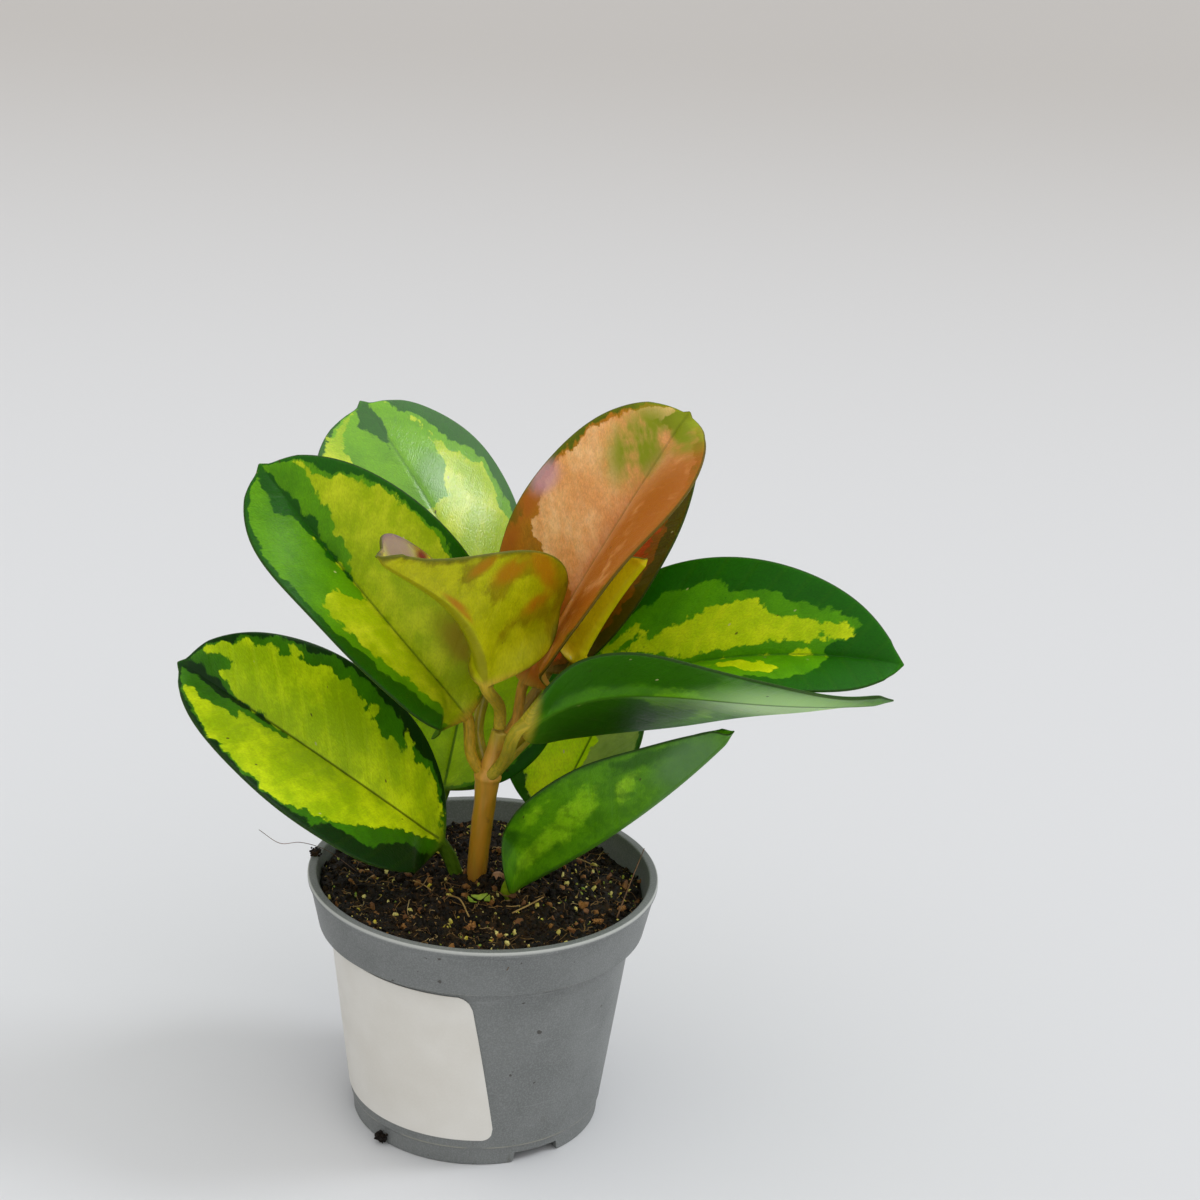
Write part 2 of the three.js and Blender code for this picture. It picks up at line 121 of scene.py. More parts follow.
# The dry stalk: its foot's pixel, its points from there, and its radius at the foot and the tip
STALK_FOOT, STALK_RADII = (617, 914), (0.16, 0.07)
STALK_STEPS = [(0, 0, 0), (2.2, 5.0, 4.0), (4.6, 9.5, 8.6)]
# The root thread: where it lies on the rim, its points from there, and its radius
THREAD_EDGE, THREAD_RADIUS = (-27.0, 4.0, 45.6), 0.06
THREAD_STEPS = [(5, -1, -3.2), (0, 0, 0), (-4.5, -2, 2.4), (-8, -1, 1.6), (-11.5, -3, 5.0)]
# The clumps of peat on the rim and on the foot
RIM_CRUMB, FOOT_CRUMB = (-29.0, 3.6, 45.5), (-15.8, -15.6, 1.3)

# The turn from one crumb of a clump to the next, which spreads them evenly, in radians
GOLDEN_ANGLE = 2.399
# A whole turn, and the radius of a strewn fibre in metres
WHOLE_TURN, FIBRE_RADIUS = 6.283, 0.00006

# The stem and the stub: points of the middle line, and the radius at each
STEM_LINE = [
    ((-1.5, 3, 31), 1.6),
    ((-1.3, 3, 40), 1.65),
    ((-0.8, 3, 49), 1.8),
    ((-0.1, 3, 58), 1.9),
    ((0.1, 3, 61.2), 2.2),
    ((0.4, 3, 62.8), 1.75),
    ((1.1, 3, 66), 1.45),
    ((1.8, 3, 69.6), 1.35),
]
# The node's ring and the scar above it: height, how far each stands out, and its reach
NODE_RINGS = [(61.4, 0.22, 0.7), (62.7, -0.12, 0.4)]
STUB_LINE = [((2.7, 3.2, 34), 1.2), ((2.6, 3.2, 40.5), 1.25), ((2.4, 3, 43), 1.1)]
# The height where the stub's end starts to round over, and how far up that reaches
STUB_SHOULDER, STUB_ROUND = 42.3, 0.72

# Blade thickness, full, at the midrib and at the margin
RIB_THICKNESS = 1.7
BLADE_THICKNESS = 0.9
MARGIN_THICKNESS = 0.6
# The blade's point: half its width at the very tip, how fast it widens, and its widest
TIP_HALF_WIDTH = 0.14
POINT_SLOPE = 1.3
POINT_HALF_WIDTH = 3.2
# Reach of the midrib's swelling, the groove over it, and the margin's rounding
RIB_REACH = 1.6
GROOVE_DEPTH, GROOVE_REACH = 0.16, 0.42
MARGIN_ROUND = 0.45
WAVE_HEIGHT = 0.32
# Angle of a fold at which its two faces are taken to meet, in radians
FOLD_LIMIT = 1.4
# The curve of the blade's outline, and the shares of its length where its point's width comes in
OUTLINE_CURVE, POINT_FROM, POINT_FULL = 0.55, 0.6, 0.88
# Shares of its length: where it has left the stalk's section behind, where its folds are full, how
# near the tip they close, and where it starts to thin out to the tip
SECTION_FULL, FOLD_FULL, FOLD_CLOSES, THIN_FROM = 0.1, 0.14, 0.04, 0.94
# How much the midrib, its groove and the blade itself have lost at the tip
RIB_LOSS, GROOVE_LOSS, TIP_LOSS = 0.6, 0.5, 0.7
# The stalk's rings, and the share of the blade's length where a point guides its curve
STALK_RINGS, STALK_GUIDE = 24, 0.12
# Places across half a blade, from the midrib to the margin, closer together near both
HALF_ACROSS = np.array([0.012, 0.03, 0.055, 0.09, 0.13, 0.18, 0.24, 0.31, 0.38, 0.45, 0.52, 0.59,
                        0.66, 0.72, 0.78, 0.83, 0.875, 0.91, 0.94, 0.962, 0.978, 0.99, 0.997, 1.0])
# How far the side veins lean out to the tip's side
VEIN_LEAN = 0.8

# Kinds of tint on a leaf: reddened, a painted sheen of reflected light, and stained
TINT_AND_SHEEN_KINDS = ("red", "painted_sheen", "stain")

# Each leaf's form, as in the solid model, and then its marking. Lengths are in mm
#   petiole, stalk       the stalk's points, and its radius
#   base, tip            the blade's two ends
#   face                 the way that its upper face looks
#   width, share         the blade's width, and how full each half of it is
#   widest               where each half is widest, as a share of the blade's length
#   drip                 length of the blade's point
#   bow, sway, peak      how far the midrib arches up and to the right, and where it does so most
#   twist, open          the tip's turn in degrees, and how far the folds open towards it
#   fold, rim            slope of each half at the midrib and at the margin, in degrees
#   rim_dark, rim_green  depth of the dark margin, and of the mid-green zone inside it
#   marks                zones laid over that in turn: the zone, the side, and its line along the
#                        midrib and across it, left below zero. Side 0 closes the line on itself,
#                        and -1 or 1 takes all between the line and the left or right margin
#   tints_and_sheens     tints and painted sheens: face, kind, place along and across, half sizes
#   palette              colours of the margin, the mid zone, the middle and its lighter mottling
#   under                colour of the lower face, and how far it covers the marking there
#   clouds               how far the lower face is clouded with the margin's colour
#   thread               how strongly the midrib is drawn
#   gloss                the wax coat's weight and roughness
# First comes what most leaves have, which a leaf's own entry may change.
MOST_LEAVES = dict(
    drip=2, bow=2, sway=0, peak=0.5, twist=0, open=0, share=(1, 1), marks=[], tints_and_sheens=[],
    under=("#5F7F2A", 0.6), clouds=0.45, thread=0.7, gloss=(0.05, 0.25), edge_colour="#22360E",
    # The sheen colour is a painted sheen: reflected light laid on the blade as colour
    flush_colour="#8E4E16", sheen_colour="#759262", stain_colour="#7C8612",
)
LEAVES = [
    dict(
        name="low_left", petiole=[(-4.6, 5.2, 32), (-4.7, 5, 41)], stalk=1.2,
        base=(-7.7, 3.5, 48.3), tip=(-50.3, -12, 86.1), face=(0, -0.74, 0.67),
        width=34, widest=(0.5, 0.5), drip=1, bow=2.5, sway=-0.5, open=0.3,
        fold=(40, 4), rim=(30, -6), rim_dark=0.9, rim_green=0.5,
        marks=[
            ("green", -1, [(-2, 0), (3, -1), (8, -3), (13, -5), (17, -7), (19.5, -8.8), (23, -11),
                           (26, -12), (30, -13.6), (36, -14.8), (42, -14.6), (46, -13.4),
                           (52, -10.6), (60, -5)]),
            ("dark", -1, [(-2, -1), (3, -3.4), (7, -6), (12, -7.6), (15, -10), (18, -12.6),
                          (22, -13.4), (27, -12.8), (29, -15), (34, -15.6), (40, -15.4),
                          (43, -14.6), (46, -15), (52, -12), (60, -6)]),
            ("green", 1, [(-2, 0.6), (2, 2), (4, 6), (8, 8.6), (13, 9), (17, 9.6), (20, 9.4),
                          (25, 10.4), (28, 13), (31, 14), (34, 13), (37, 14), (39, 12.2), (43, 11),
                          (47, 10.6), (50, 9.4), (53, 8), (60, 3)]),
            ("dark", 1, [(-2, 1), (2, 3.4), (5, 8.4), (9, 10), (13, 10.2), (17, 11.6), (19, 14),
                         (23, 14.6), (27, 15.6), (32, 15.4), (37, 15.8), (40, 13.8), (43, 14.4),
                         (47, 12.8), (51, 10.8), (54, 7.4), (60, 3)]),
            ("lime", 0, [(14, 10.8), (15.5, 10.2), (17.6, 10.8), (17.2, 12), (15, 12)]),
            ("lime", 0, [(23.4, 11.4), (25, 11), (25.6, 12.4), (24.4, 13.2), (23.2, 12.6)]),
            ("lime", 0, [(41, 11.9), (43.2, 11.8), (43.6, 12.8), (42, 13.4), (40.8, 12.8)]),
            ("green", 0, [(36, -0.6), (42, -1.8), (46.4, -2.2), (47.4, -4.2), (50, -3.8), (53, -4),
                          (57, -3.4), (60, 0), (57, 3), (54, 5), (51.4, 4.6), (52.6, 2),
                          (47, 0.4)]),
            ("dark", 0, [(38, -0.3), (46, -1), (52, -1), (60, 0), (55.6, 2), (53.4, 0.8),
                         (46, 0.1)]),
        ],
        palette=("#082C00", "#408000", "#A2BE02", "#CADC0C"),
        stalk_colour="#4E6E12",
    ),
    dict(
        name="upper_left", petiole=[(-0.1, 3, 60.5), (-2.8, 3, 65)], stalk=1,
        base=(-3.8, 5, 71.3), tip=(-38.1, -5, 117.7), face=(0.05, -0.94, 0.35),
        width=36, widest=(0.49, 0.49), drip=1, sway=-0.5, open=0.85,
        share=(0.92, 1), fold=(66, 14), rim=(64, 16), rim_dark=1.1, rim_green=0.5,
        marks=[
            ("green", 0, [(30, -0.4), (32.6, -3.4), (36.6, -6.8), (39, -16), (60, -12), (60, 0)]),
            ("green", -1, [(-2, -1.2), (4, -4.2), (12, -6.8), (20, -9.2), (27, -11.2), (34, -12),
                           (60, -10)]),
            ("dark", -1, [(-2, -2), (4, -5.6), (12, -8.8), (20, -11.6), (27, -13.4), (34, -14.2),
                          (44, -13.6), (50, -11.4), (60, -6)]),
            ("green", 0, [(35, 0.3), (37.4, 1.8), (40, 3), (44, 3.2), (47, 4.4), (50, 4.2),
                          (54, 5.2), (60, 3), (60, -2), (52, -3), (45, -1.4)]),
            ("dark", 0, [(33, -0.2), (41, -0.9), (47, -1.4), (49.6, -2.6), (53, -2.6), (60, -0.6),
                         (60, 0.8), (50, 0.9), (40, 0.4)]),
            ("green", 1, [(-2, 1), (3, 4.6), (8, 9), (14, 12.4), (20, 15), (25, 15.4), (29, 14.6),
                          (32, 16), (36, 15.6), (39, 14.4), (41, 15.6), (45, 12.8), (49, 10),
                          (51, 7), (54, 5.4), (60, 3)]),
            ("dark", 1, [(-2, 2), (3, 6.4), (8, 10.6), (14, 14.2), (20, 16.2), (26, 15.8),
                         (29, 15.6), (31, 17), (36, 16.6), (38.4, 15), (40, 16.4), (45, 14),
                         (49, 10.8), (52, 7.4), (55, 5.6), (60, 3)]),
        ],
        tints_and_sheens=[("upper", "red", 12, 8, 9, 4)],
        palette=("#1A5600", "#609C00", "#A4B800", "#C4CC1E"),
        flush_colour="#9A8A0A", stalk_colour="#C8A02C", thread=0.5,
    ),
    dict(
        name="top_left", petiole=[(0, 4.2, 61.8), (-1.9, 7.2, 68)], stalk=1,
        base=(0.8, 11, 83), tip=(-24.2, 28, 119.4), face=(0.1, -0.5, 0.86),
        width=37, widest=(0.55, 0.55), drip=1.1, bow=3, open=0.2,
        fold=(0, -4), rim=(-6, -26), rim_dark=1.6, rim_green=1.0,
        marks=[
            ("green", 0, [(24, -2), (29, -6), (35, -8), (40, -8), (44, -5), (50, 0), (44, 6),
                          (37, 7.6), (31, 7), (26, 4)]),
            ("lime", 0, [(39, -13), (42, -11.4), (44, -9), (42, -8.4), (39, -10)]),
            ("dark", 0, [(37, -0.8), (39.6, -2.4), (43, -3.4), (47, -2), (50, 0.4), (45, 1.2),
                         (40, 0.2)]),
            ("green", 1, [(14, 12), (20, 13.6), (25, 14.8), (29, 14), (31, 11), (33.4, 9.4),
                          (36, 8.6), (40, 7), (43, 4.8), (50, 2)]),
            ("dark", 1, [(14, 15), (21, 15.4), (25, 16), (29, 16), (33, 13.8), (35, 11), (39, 9),
                         (41.4, 7.6), (44, 5), (50, 2)]),
            ("dark", -1, [(14, -15), (22, -16), (30, -15), (36, -13.4), (40, -13.6), (44, -10),
                          (50, -4)]),
            ("lime", 0, [(29, 9), (31, 8), (33, 9), (32, 12), (30, 12.4)]),
        ],
        palette=("#266404", "#78B400", "#A4C402", "#C4D42C"),
        stalk_colour="#B4A024", gloss=(0.9, 0.16), thread=0.35,
    ),
    dict(
        name="salmon", petiole=[(1.4, 3, 66.6), (4.3, 3.7, 70.6)], stalk=0.9,
        base=(5.6, 5, 78), tip=(30.6, 4, 126.7), face=(-0.2, -0.9, 0.3),
        width=33, widest=(0.52, 0.52), drip=0.6, open=0.6,
        fold=(4, 72), rim=(-12, 72), rim_dark=0.9, rim_green=0.6,
        marks=[
            ("green", -1, [(-2, 2), (14, 2), (20, -2), (22, -8), (24, -12.4), (29, -13), (32, -14),
                           (36, -15), (60, -12)]),
            ("green", 0, [(-3, -20), (21, -20), (20, -12), (22, -6), (18, -1), (14, 3), (-3, 20)]),
            ("dark", -1, [(8, -12), (16, -15.6), (24, -16.2), (30, -16.2), (38, -15.6), (46, -12),
                          (50, -8.4), (58, -2)]),
            ("dark", 0, [(21, -15.4), (24, -14.8), (27, -15.4), (28, -17), (20, -17)]),
            ("dark", 0, [(37, -15.6), (38.6, -14), (41, -13.4), (42, -14.4), (40, -16)]),
            ("dark", 0, [(50, -4.4), (51.4, -3), (54, -1.6), (56, 0), (54, 2.4), (52, 2),
                         (51.4, -0.6)]),
            ("dark", 1, [(46, 11.4), (49, 8.4), (51, 6), (53, 4), (58, 1)]),
        ],
        tints_and_sheens=[
            ("upper", "red", 19, -14.6, 5, 2.4),
            ("upper", "red", 27, -14.8, 4, 2),
            ("upper", "red", 28, 9, 36, 11),
            ("upper", "red", 8, -1, 14, 7),
            # A painted highlight: the pink-lilac sheen by the left margin
            ("upper", "painted_sheen", 32.4, -14.8, 3.6, 2.8),
            ("upper", "stain", 46, -4, 8.5, 5.6),
            ("upper", "stain", 52, 2, 4.4, 6),
        ],
        palette=("#5C6404", "#C07818", "#EEA866", "#F8C48C"),
        flush_colour="#B4661A", sheen_colour="#D09CA8", stain_colour="#8A9416",
        edge_colour="#4A4208", stalk_colour="#D09A3C", under=("#9A6A30", 0.6), thread=0.25,
    ),
    dict(
        name="orange", petiole=[(1.2, 3.4, 65.6), (4.6, 8.4, 69.5)], stalk=0.9,
        base=(9.8, 15, 76), tip=(29, 28, 120.4), face=(-0.3, -0.8, 0.5),
        width=26, widest=(0.58, 0.58), drip=1,
        share=(0.7, 1), fold=(10, 15), rim=(10, 15), rim_dark=2.4, rim_green=1.6,
        palette=("#544604", "#905404", "#B84606", "#D06010"),
        stalk_colour="#9E7E34", under=("#7A5A20", 0.6),
    ),
    dict(
        name="folded", petiole=[(2.9, 2, 66.0), (7.6, 2.8, 71)], stalk=0.8,
        base=(13.8, 4, 81.8), tip=(25.1, 5, 100.9), face=(-0.3, 0.8, 0.5),
        width=15, widest=(0.45, 0.45), bow=1,
        fold=(50, 50), rim=(50, 50), rim_dark=0.4, rim_green=1.2,
        marks=[("green", 1, [(-2, 2), (4, 2.6), (12, 3), (24, 2)])],
        tints_and_sheens=[("lower", "red", 8, -3, 6, 1.4)],
        palette=("#9A8204", "#D8A408", "#E8D402", "#F0DE0A"), clouds=0.2,
        flush_colour="#7A3E0C", stalk_colour="#8A7414", under=("#DCC40A", 0.5),
    ),
    dict(
        name="front_small", petiole=[(1.8, 2.8, 70.5), (1.7, 2, 74)], stalk=1.05,
        base=(-1, -8.6, 82.9), tip=(-17.9, -27.4, 110.9), face=(-0.42, 0.8, 0.52),
        width=34, widest=(0.27, 0.7), bow=1.4, sway=-3.7, peak=0.41, twist=-40, open=0.33,
        share=(1.1, 0.4), fold=(25, 86), rim=(25, 81), rim_dark=0.5, rim_green=0.6,
        marks=[
            ("green", -1, [(-2, -5), (3, -12), (6, -15), (12, -16.4), (18, -14), (24, -9.6),
                           (30, -4.4), (36, -2)]),
            ("green", 0, [(13, -16), (16, -15), (18, -9), (17, -6), (13.6, -5.4), (14.6, -9)]),
            ("green", 0, [(19.6, -13), (23, -12), (24, -7), (22, -4), (19.8, -5), (20.8, -9)]),
            ("green", 0, [(5, -14), (8, -15), (9, -9), (8, -4), (6, -3.6), (6.6, -8)]),
        ],
        tints_and_sheens=[
            ("lower", "red", 17, -11, 2.4, 4),
            ("lower", "red", 13, -15.4, 5, 2),
            ("lower", "red", 21.6, -8.4, 1.4, 3),
            ("lower", "red", 8.4, -12, 1.4, 3),
            ("lower", "red", 18, -1, 5, 0.6),
            # A painted sheen: the grey-purple gloss on the folded flap
            ("upper", "painted_sheen", 32, 3, 5.4, 6),
            ("upper", "stain", 26, 4.6, 2, 2.4),
        ],
        palette=("#626204", "#A49602", "#B2B400", "#C6C410"),
        flush_colour="#B87A0A", sheen_colour="#90707A", clouds=0.12, stain_colour="#742208",
        edge_colour="#5E5E1C",
        stalk_colour="#D4B43A", under=("#8A8408", 0.15),
    ),
    dict(
        name="right_upper", petiole=[(0.8, 3.6, 61), (5, 7, 65)], stalk=1.1,
        base=(14.2, 15, 71.1), tip=(68.1, -4, 87.1), face=(0, -0.93, 0.37),
        width=35, widest=(0.46, 0.46), bow=1, sway=-4, open=0.6,
        share=(1, 0.8), fold=(2, 75), rim=(-2, 70), rim_dark=3.4, rim_green=1.6,
        marks=[
            ("green", -1, [(-2, -1), (11, -4.2), (15, -5), (20, -6.4), (25, -8), (29.6, -9.4),
                           (35, -9.6), (36.4, -8), (40, -6.6), (45, -6), (49.6, -5.4), (51, -4),
                           (60, 0)]),
            ("dark", -1, [(-2, -2), (5, -4.6), (10, -8.4), (14, -10), (19, -11.8), (23, -13),
                          (28, -13.4), (30.6, -12.6), (30.8, -10.6), (33, -11.2), (37, -10.8),
                          (40, -9.6), (44, -8.4), (48, -7.6), (51.6, -5.8), (50.6, -3.6),
                          (48, -2.6), (46.6, -0.6), (47, 2), (60, 2)]),
            ("lime", 0, [(8.4, -5.8), (12, -7.8), (16, -8.6), (15.4, -7.2), (12, -5.6), (9, -5.2)]),
            ("green", 0, [(11, -4), (17, -3.2), (22, -1), (28, -1.6), (33, -1.2), (37, -2.4),
                          (42, -2.8), (47, -2.8), (51, -3.6), (50, 0), (24, 0.4), (11, -1)]),
            ("green", 1, [(-2, 0), (60, 0)]),
            ("lime", 0, [(26, 3), (30, 2.2), (33, 2.2), (36, 3), (39.6, 5.2), (38.6, 6.6),
                         (33.4, 6), (30, 4.4)]),
            ("dark", 1, [(-2, 3), (16, 4), (25, 5.4), (29, 8.6), (33, 9.2), (38, 8.8), (42, 7.8),
                         (45, 5), (47, 1.4), (60, 0.6)]),
        ],
        palette=("#1C6200", "#5EA400", "#BCD400", "#D6E212"),
        stalk_colour="#C8A838", under=("#4E7426", 0.6), thread=0.4,
    ),
    dict(
        name="right_mid", petiole=[(0.3, 2, 61.4), (2.6, 0.5, 65)], stalk=1.1,
        base=(5.5, -13.7, 78), tip=(65.1, -14.8, 85.2), face=(-0.05, 0.93, 0.71),
        width=37, widest=(0.33, 0.33), drip=5, bow=6, sway=-1.4, peak=0.26, twist=20,
        share=(1.08, 0.72), fold=(7, 9), rim=(2, -4), rim_dark=1.2, rim_green=1.0,
        marks=[
            ("green", 0, [(-3, -30), (70, -30), (70, 30), (-3, 30)]),
            ("dark", 0, [(-3, -24), (19, -24), (21, -12), (20, -4), (16, -1.6), (10, -2.4),
                         (-3, -2)]),
            ("dark", 0, [(-3, 1.6), (10, 2), (20, 2.6), (26, 1), (32, 4), (34, 12), (20, 18),
                         (-3, 18)]),
            ("lime", 0, [(18, -2), (22, -8), (25, -9.6), (30, -8.6), (32.4, -3), (30, 1.4),
                         (24, 1.6)]),
            ("lime", 0, [(26, -15), (29, -14), (30, -9), (27, -10)]),
            ("dark", -1, [(44, -10), (52, -6), (60, -2)]),
        ],
        # A painted sheen: pale reflected light on the lower face, from the middle to the tip
        tints_and_sheens=[("lower", "painted_sheen", 43, -4, 16, 10)],
        palette=("#2C6600", "#4C8C00", "#72B20C", "#78AE26"),
        clouds=0.3, sheen_colour="#C4E8A0", stalk_colour="#C0A834", under=("#3E6A14", 0.1),
    ),
    dict(
        name="right_low", petiole=[(4.2, -1.4, 32), (4.2, -1.4, 40)], stalk=1.3,
        base=(4.9, -2.5, 43.7), tip=(39.9, -12, 77.6), face=(-0.45, 0.1, 0.88),
        width=31, widest=(0.42, 0.42), bow=-2,
        fold=(20, 65), rim=(15, 60), rim_dark=0.6, rim_green=1.2,
        marks=[
            ("green", 0, [(-3, -30), (60, -30), (60, 30), (-3, 30)]),
            ("lime", 0, [(3, 5), (8, 6), (15, 8), (23, 11), (26, 9.6), (22, 5.6), (14, 4), (6, 3)]),
            ("lime", 0, [(26, 4), (31, 5), (33, 7), (29, 7)]),
            ("lime", 0, [(10, 10), (14, 11), (18, 13), (13, 13)]),
            ("lime", 0, [(4, -4), (12, -6), (20, -8), (14, -10), (6, -7)]),
            ("dark", 0, [(30, 9), (38, 6), (43, 3), (44, 5), (38, 9.6), (32, 12)]),
            ("dark", 0, [(5, 8), (9, 10), (8, 12), (4, 9.6)]),
        ],
        # Painted sheen: grey reflected light on the lower face near the tip
        tints_and_sheens=[("lower", "painted_sheen", 41, 2, 8, 5), ("lower", "painted_sheen", 38, -4, 10, 6)],
        palette=("#2E6002", "#5C9804", "#86BE0C", "#94C61A"),
        sheen_colour="#5C8250", stalk_colour="#90AC1C", under=("#46761C", 0.12),
    ),
    dict(
        name="back_stem", petiole=[(-12, 12, 32), (-12, 12, 41)], stalk=1.2,
        base=(-7.5, 13, 54), tip=(-1.4, 27, 86), face=(0, -0.9, 0.4),
        width=34, widest=(0.5, 0.5),
        fold=(10, 10), rim=(0, 0), rim_dark=2.6, rim_green=1.4,
        marks=[("green", 0, [(18, -2), (26, -4), (34, -2), (40, 0), (34, 3), (26, 3)])],
        palette=("#1E5A00", "#5A9C00", "#96BE00", "#AECE0C"),
        stalk_colour="#5E7A14",
    ),
    dict(
        name="back_right", petiole=[(7.9, 17.5, 32), (7.9, 17.5, 40)], stalk=1.2,
        base=(11.2, 17, 46.5), tip=(24.2, 31, 70), face=(0, -0.9, 0.4),
        width=30, widest=(0.5, 0.5),
        fold=(10, 60), rim=(0, 60), rim_dark=0.9, rim_green=0.5,
        marks=[
            ("dark", -1, [(-2, -3), (5, -7), (11, -11), (18, -14)]),
            ("green", 1, [(-2, 1), (10, 2), (40, 2)]),
        ],
        palette=("#2A6202", "#A4B85A", "#CCEE00", "#DCF410"),
        stalk_colour="#6E8A1C", under=("#6F8C34", 0.6),
    ),
]


def linear(code):
    """An sRGB hex value as a linear colour."""
    parts = [int(code[i:i + 2], 16) / 255 for i in (1, 3, 5)]
    return tuple(p / 12.92 if p <= 0.04045 else ((p + 0.055) / 1.055) ** 2.4 for p in parts)


def opaque(colour):
    """A colour, as hex or as three numbers, with full alpha."""
    return (*(linear(colour) if isinstance(colour, str) else colour), 1.0)


# What a kind of node is set to where a call says nothing else
USUAL = {"MapRange": {"interpolation_type": "SMOOTHSTEP"}, "Mix": {"data_type": "RGBA"},
         "Math": {"operation": "MULTIPLY_ADD"}}
# A noise's inputs, in the order of the rows that are given for it
NOISE = ("Vector", "Scale", "Detail", "Roughness")


def add(tree, kind, inputs=None, **settings):
    """Adds a node with its settings, and a value or a link for each input named.

    A hex code gives a colour, and a node its first output.
    """
    made = tree.nodes.new(kind if "Node" in kind else "ShaderNode" + kind)
    for name, value in {**USUAL.get(kind, {}), **settings}.items():
        setattr(made, name, value)
    for key, value in (inputs or {}).items():
        if isinstance(value, bpy.types.Node):
            value = next(socket for socket in value.outputs if socket.enabled)
        if isinstance(value, bpy.types.NodeSocket):
            tree.links.new(value, made.inputs[key])
        else:
            made.inputs[key].default_value = opaque(value) if isinstance(value, str) else value
    return made


def add_each(tree, kind, names, *rows):
    """Adds a node of one kind for each row of values, given for the named inputs."""
    return [add(tree, kind, dict(zip(names, row))) for row in rows]


def new_material(name):
    """An empty node material, its tree, and the place on the object that its patterns follow."""
    material = bpy.data.materials.new(name)
    material.use_nodes = True
    tree = material.node_tree
    tree.nodes.clear()
    return material, tree, add(tree, "TexCoord").outputs["Object"]


def coated(tree, colour, *coats):
    """Lays coats over a colour.

    A coat has the value that it follows, the values where it starts and where it is full, how much
    it covers there, as a number or a node, and its own colour.
    """
    for value, start, full, cover, paint in coats:
        mask = add(tree, "MapRange", {0: value, 1: start, 2: full, 4: cover})
        colour = add(tree, "Mix", {0: mask, 6: colour, 7: paint})
    return colour


def surfaced(tree, colour, relief, roughness, more):
    """Closes a material with its relief, its surface and its output.

    The relief is a height, a strength and a depth in metres. The roughness is a value, the range
    that it is read over, and the roughness at each end of it.
    """
    bump = add(tree, "Bump", dict(zip(("Height", "Strength", "Distance"), relief)))
    rough = add(tree, "MapRange", dict(enumerate(roughness)))
    shader = add(tree, "BsdfPrincipled",
                 {"Base Color": colour, "Roughness": rough, "Normal": bump, **more})
    add(tree, "OutputMaterial", {0: shader})


def placed(points):
    """Points round the pot's axis in mm, as row-frame metres."""
    return np.asarray(points, float) * MM + np.array([AXIS.x, AXIS.y, 0.0])


def new_object(name, data):
    """An object with its data, linked to the scene."""
    made = bpy.data.objects.new(name, data)
    bpy.context.scene.collection.objects.link(made)
    return made


def shaped_mesh(piece):
    """The plain mesh that an object's modifiers make of it."""
    bpy.context.view_layer.update()
    graph = bpy.context.evaluated_depsgraph_get()
    return bpy.data.meshes.new_from_object(piece.evaluated_get(graph))


def mesh_piece(name, points, faces, material, smooth=True):
    """A mesh object at the origin from points in mm and faces."""
    mesh = bpy.data.meshes.new(name)
    mesh.from_pydata(placed(points).tolist(), [], [list(map(int, f)) for f in faces])
    mesh.validate()
    if smooth:
        mesh.shade_smooth()
    if material:
        mesh.materials.append(material)
    return new_object(name, mesh)


def attribute(mesh, name, *values):
    """Keeps a vector for each vertex, from the three numbers of each."""
    field = np.stack(np.broadcast_arrays(*values), -1).astype(np.float32)
    mesh.attributes.new(name, "FLOAT_VECTOR", "POINT").data.foreach_set("vector", field.ravel())


def finish_piece(piece, slot, *nodes):
    """Seats a finished piece on the plant's one body."""
    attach(piece, "root")
    if nodes:
        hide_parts(*nodes)


def ring_faces(count, size):
    """Faces between rings of points, and a strip over each end ring."""
    k = np.arange(size)
    after = (k + 1) % size
    faces = []
    for r in range(count - 1):
        here, there = r * size, (r + 1) * size
        faces += np.stack([here + k, here + after, there + after, there + k], 1).tolist()
    last = (count - 1) * size
    for k in range(size // 2 - 1):
        quad = [k, k + 1, size - 2 - k, size - 1 - k]
        faces.append(quad[::-1])
        faces.append([last + q for q in quad])
    return faces


def tube_points(line, radii, sides, wobble=0.0, seed=0):
    """Rings of points round a line of points, each with its radius."""
    line = np.asarray(line, float)
    along = unit(np.gradient(line, axis=0))
    side = np.cross(along[0], (0.0, 1.0, 0.1) if abs(along[0][1]) < 0.9 else (1.0, 0.0, 0.0))
    rings = []
    angle = np.linspace(0, 2 * math.pi, sides, endpoint=False)
    for centre, forward, radius in zip(line, along, radii):
        side = unit(side - forward * side.dot(forward))
        front = np.cross(forward, side)
        rough = [noise.noise(Vector((3 * math.cos(a) + seed, 3 * math.sin(a), centre[2] * 0.35)))
                 for a in angle]
        reach = radius * (1 + wobble * np.array(rough))
        rings.append(centre + np.outer(reach * np.cos(angle), side)
                     + np.outer(reach * np.sin(angle), front))
    return np.concatenate(rings)


def strand(name, line, radii, sides, material, wobble=0.0, seed=0):
    """A round strand along a line of points, with a radius at each, as one closed mesh."""
    points = tube_points(line, radii, sides, wobble, seed)
    return mesh_piece(name, points, ring_faces(len(line), sides), material)


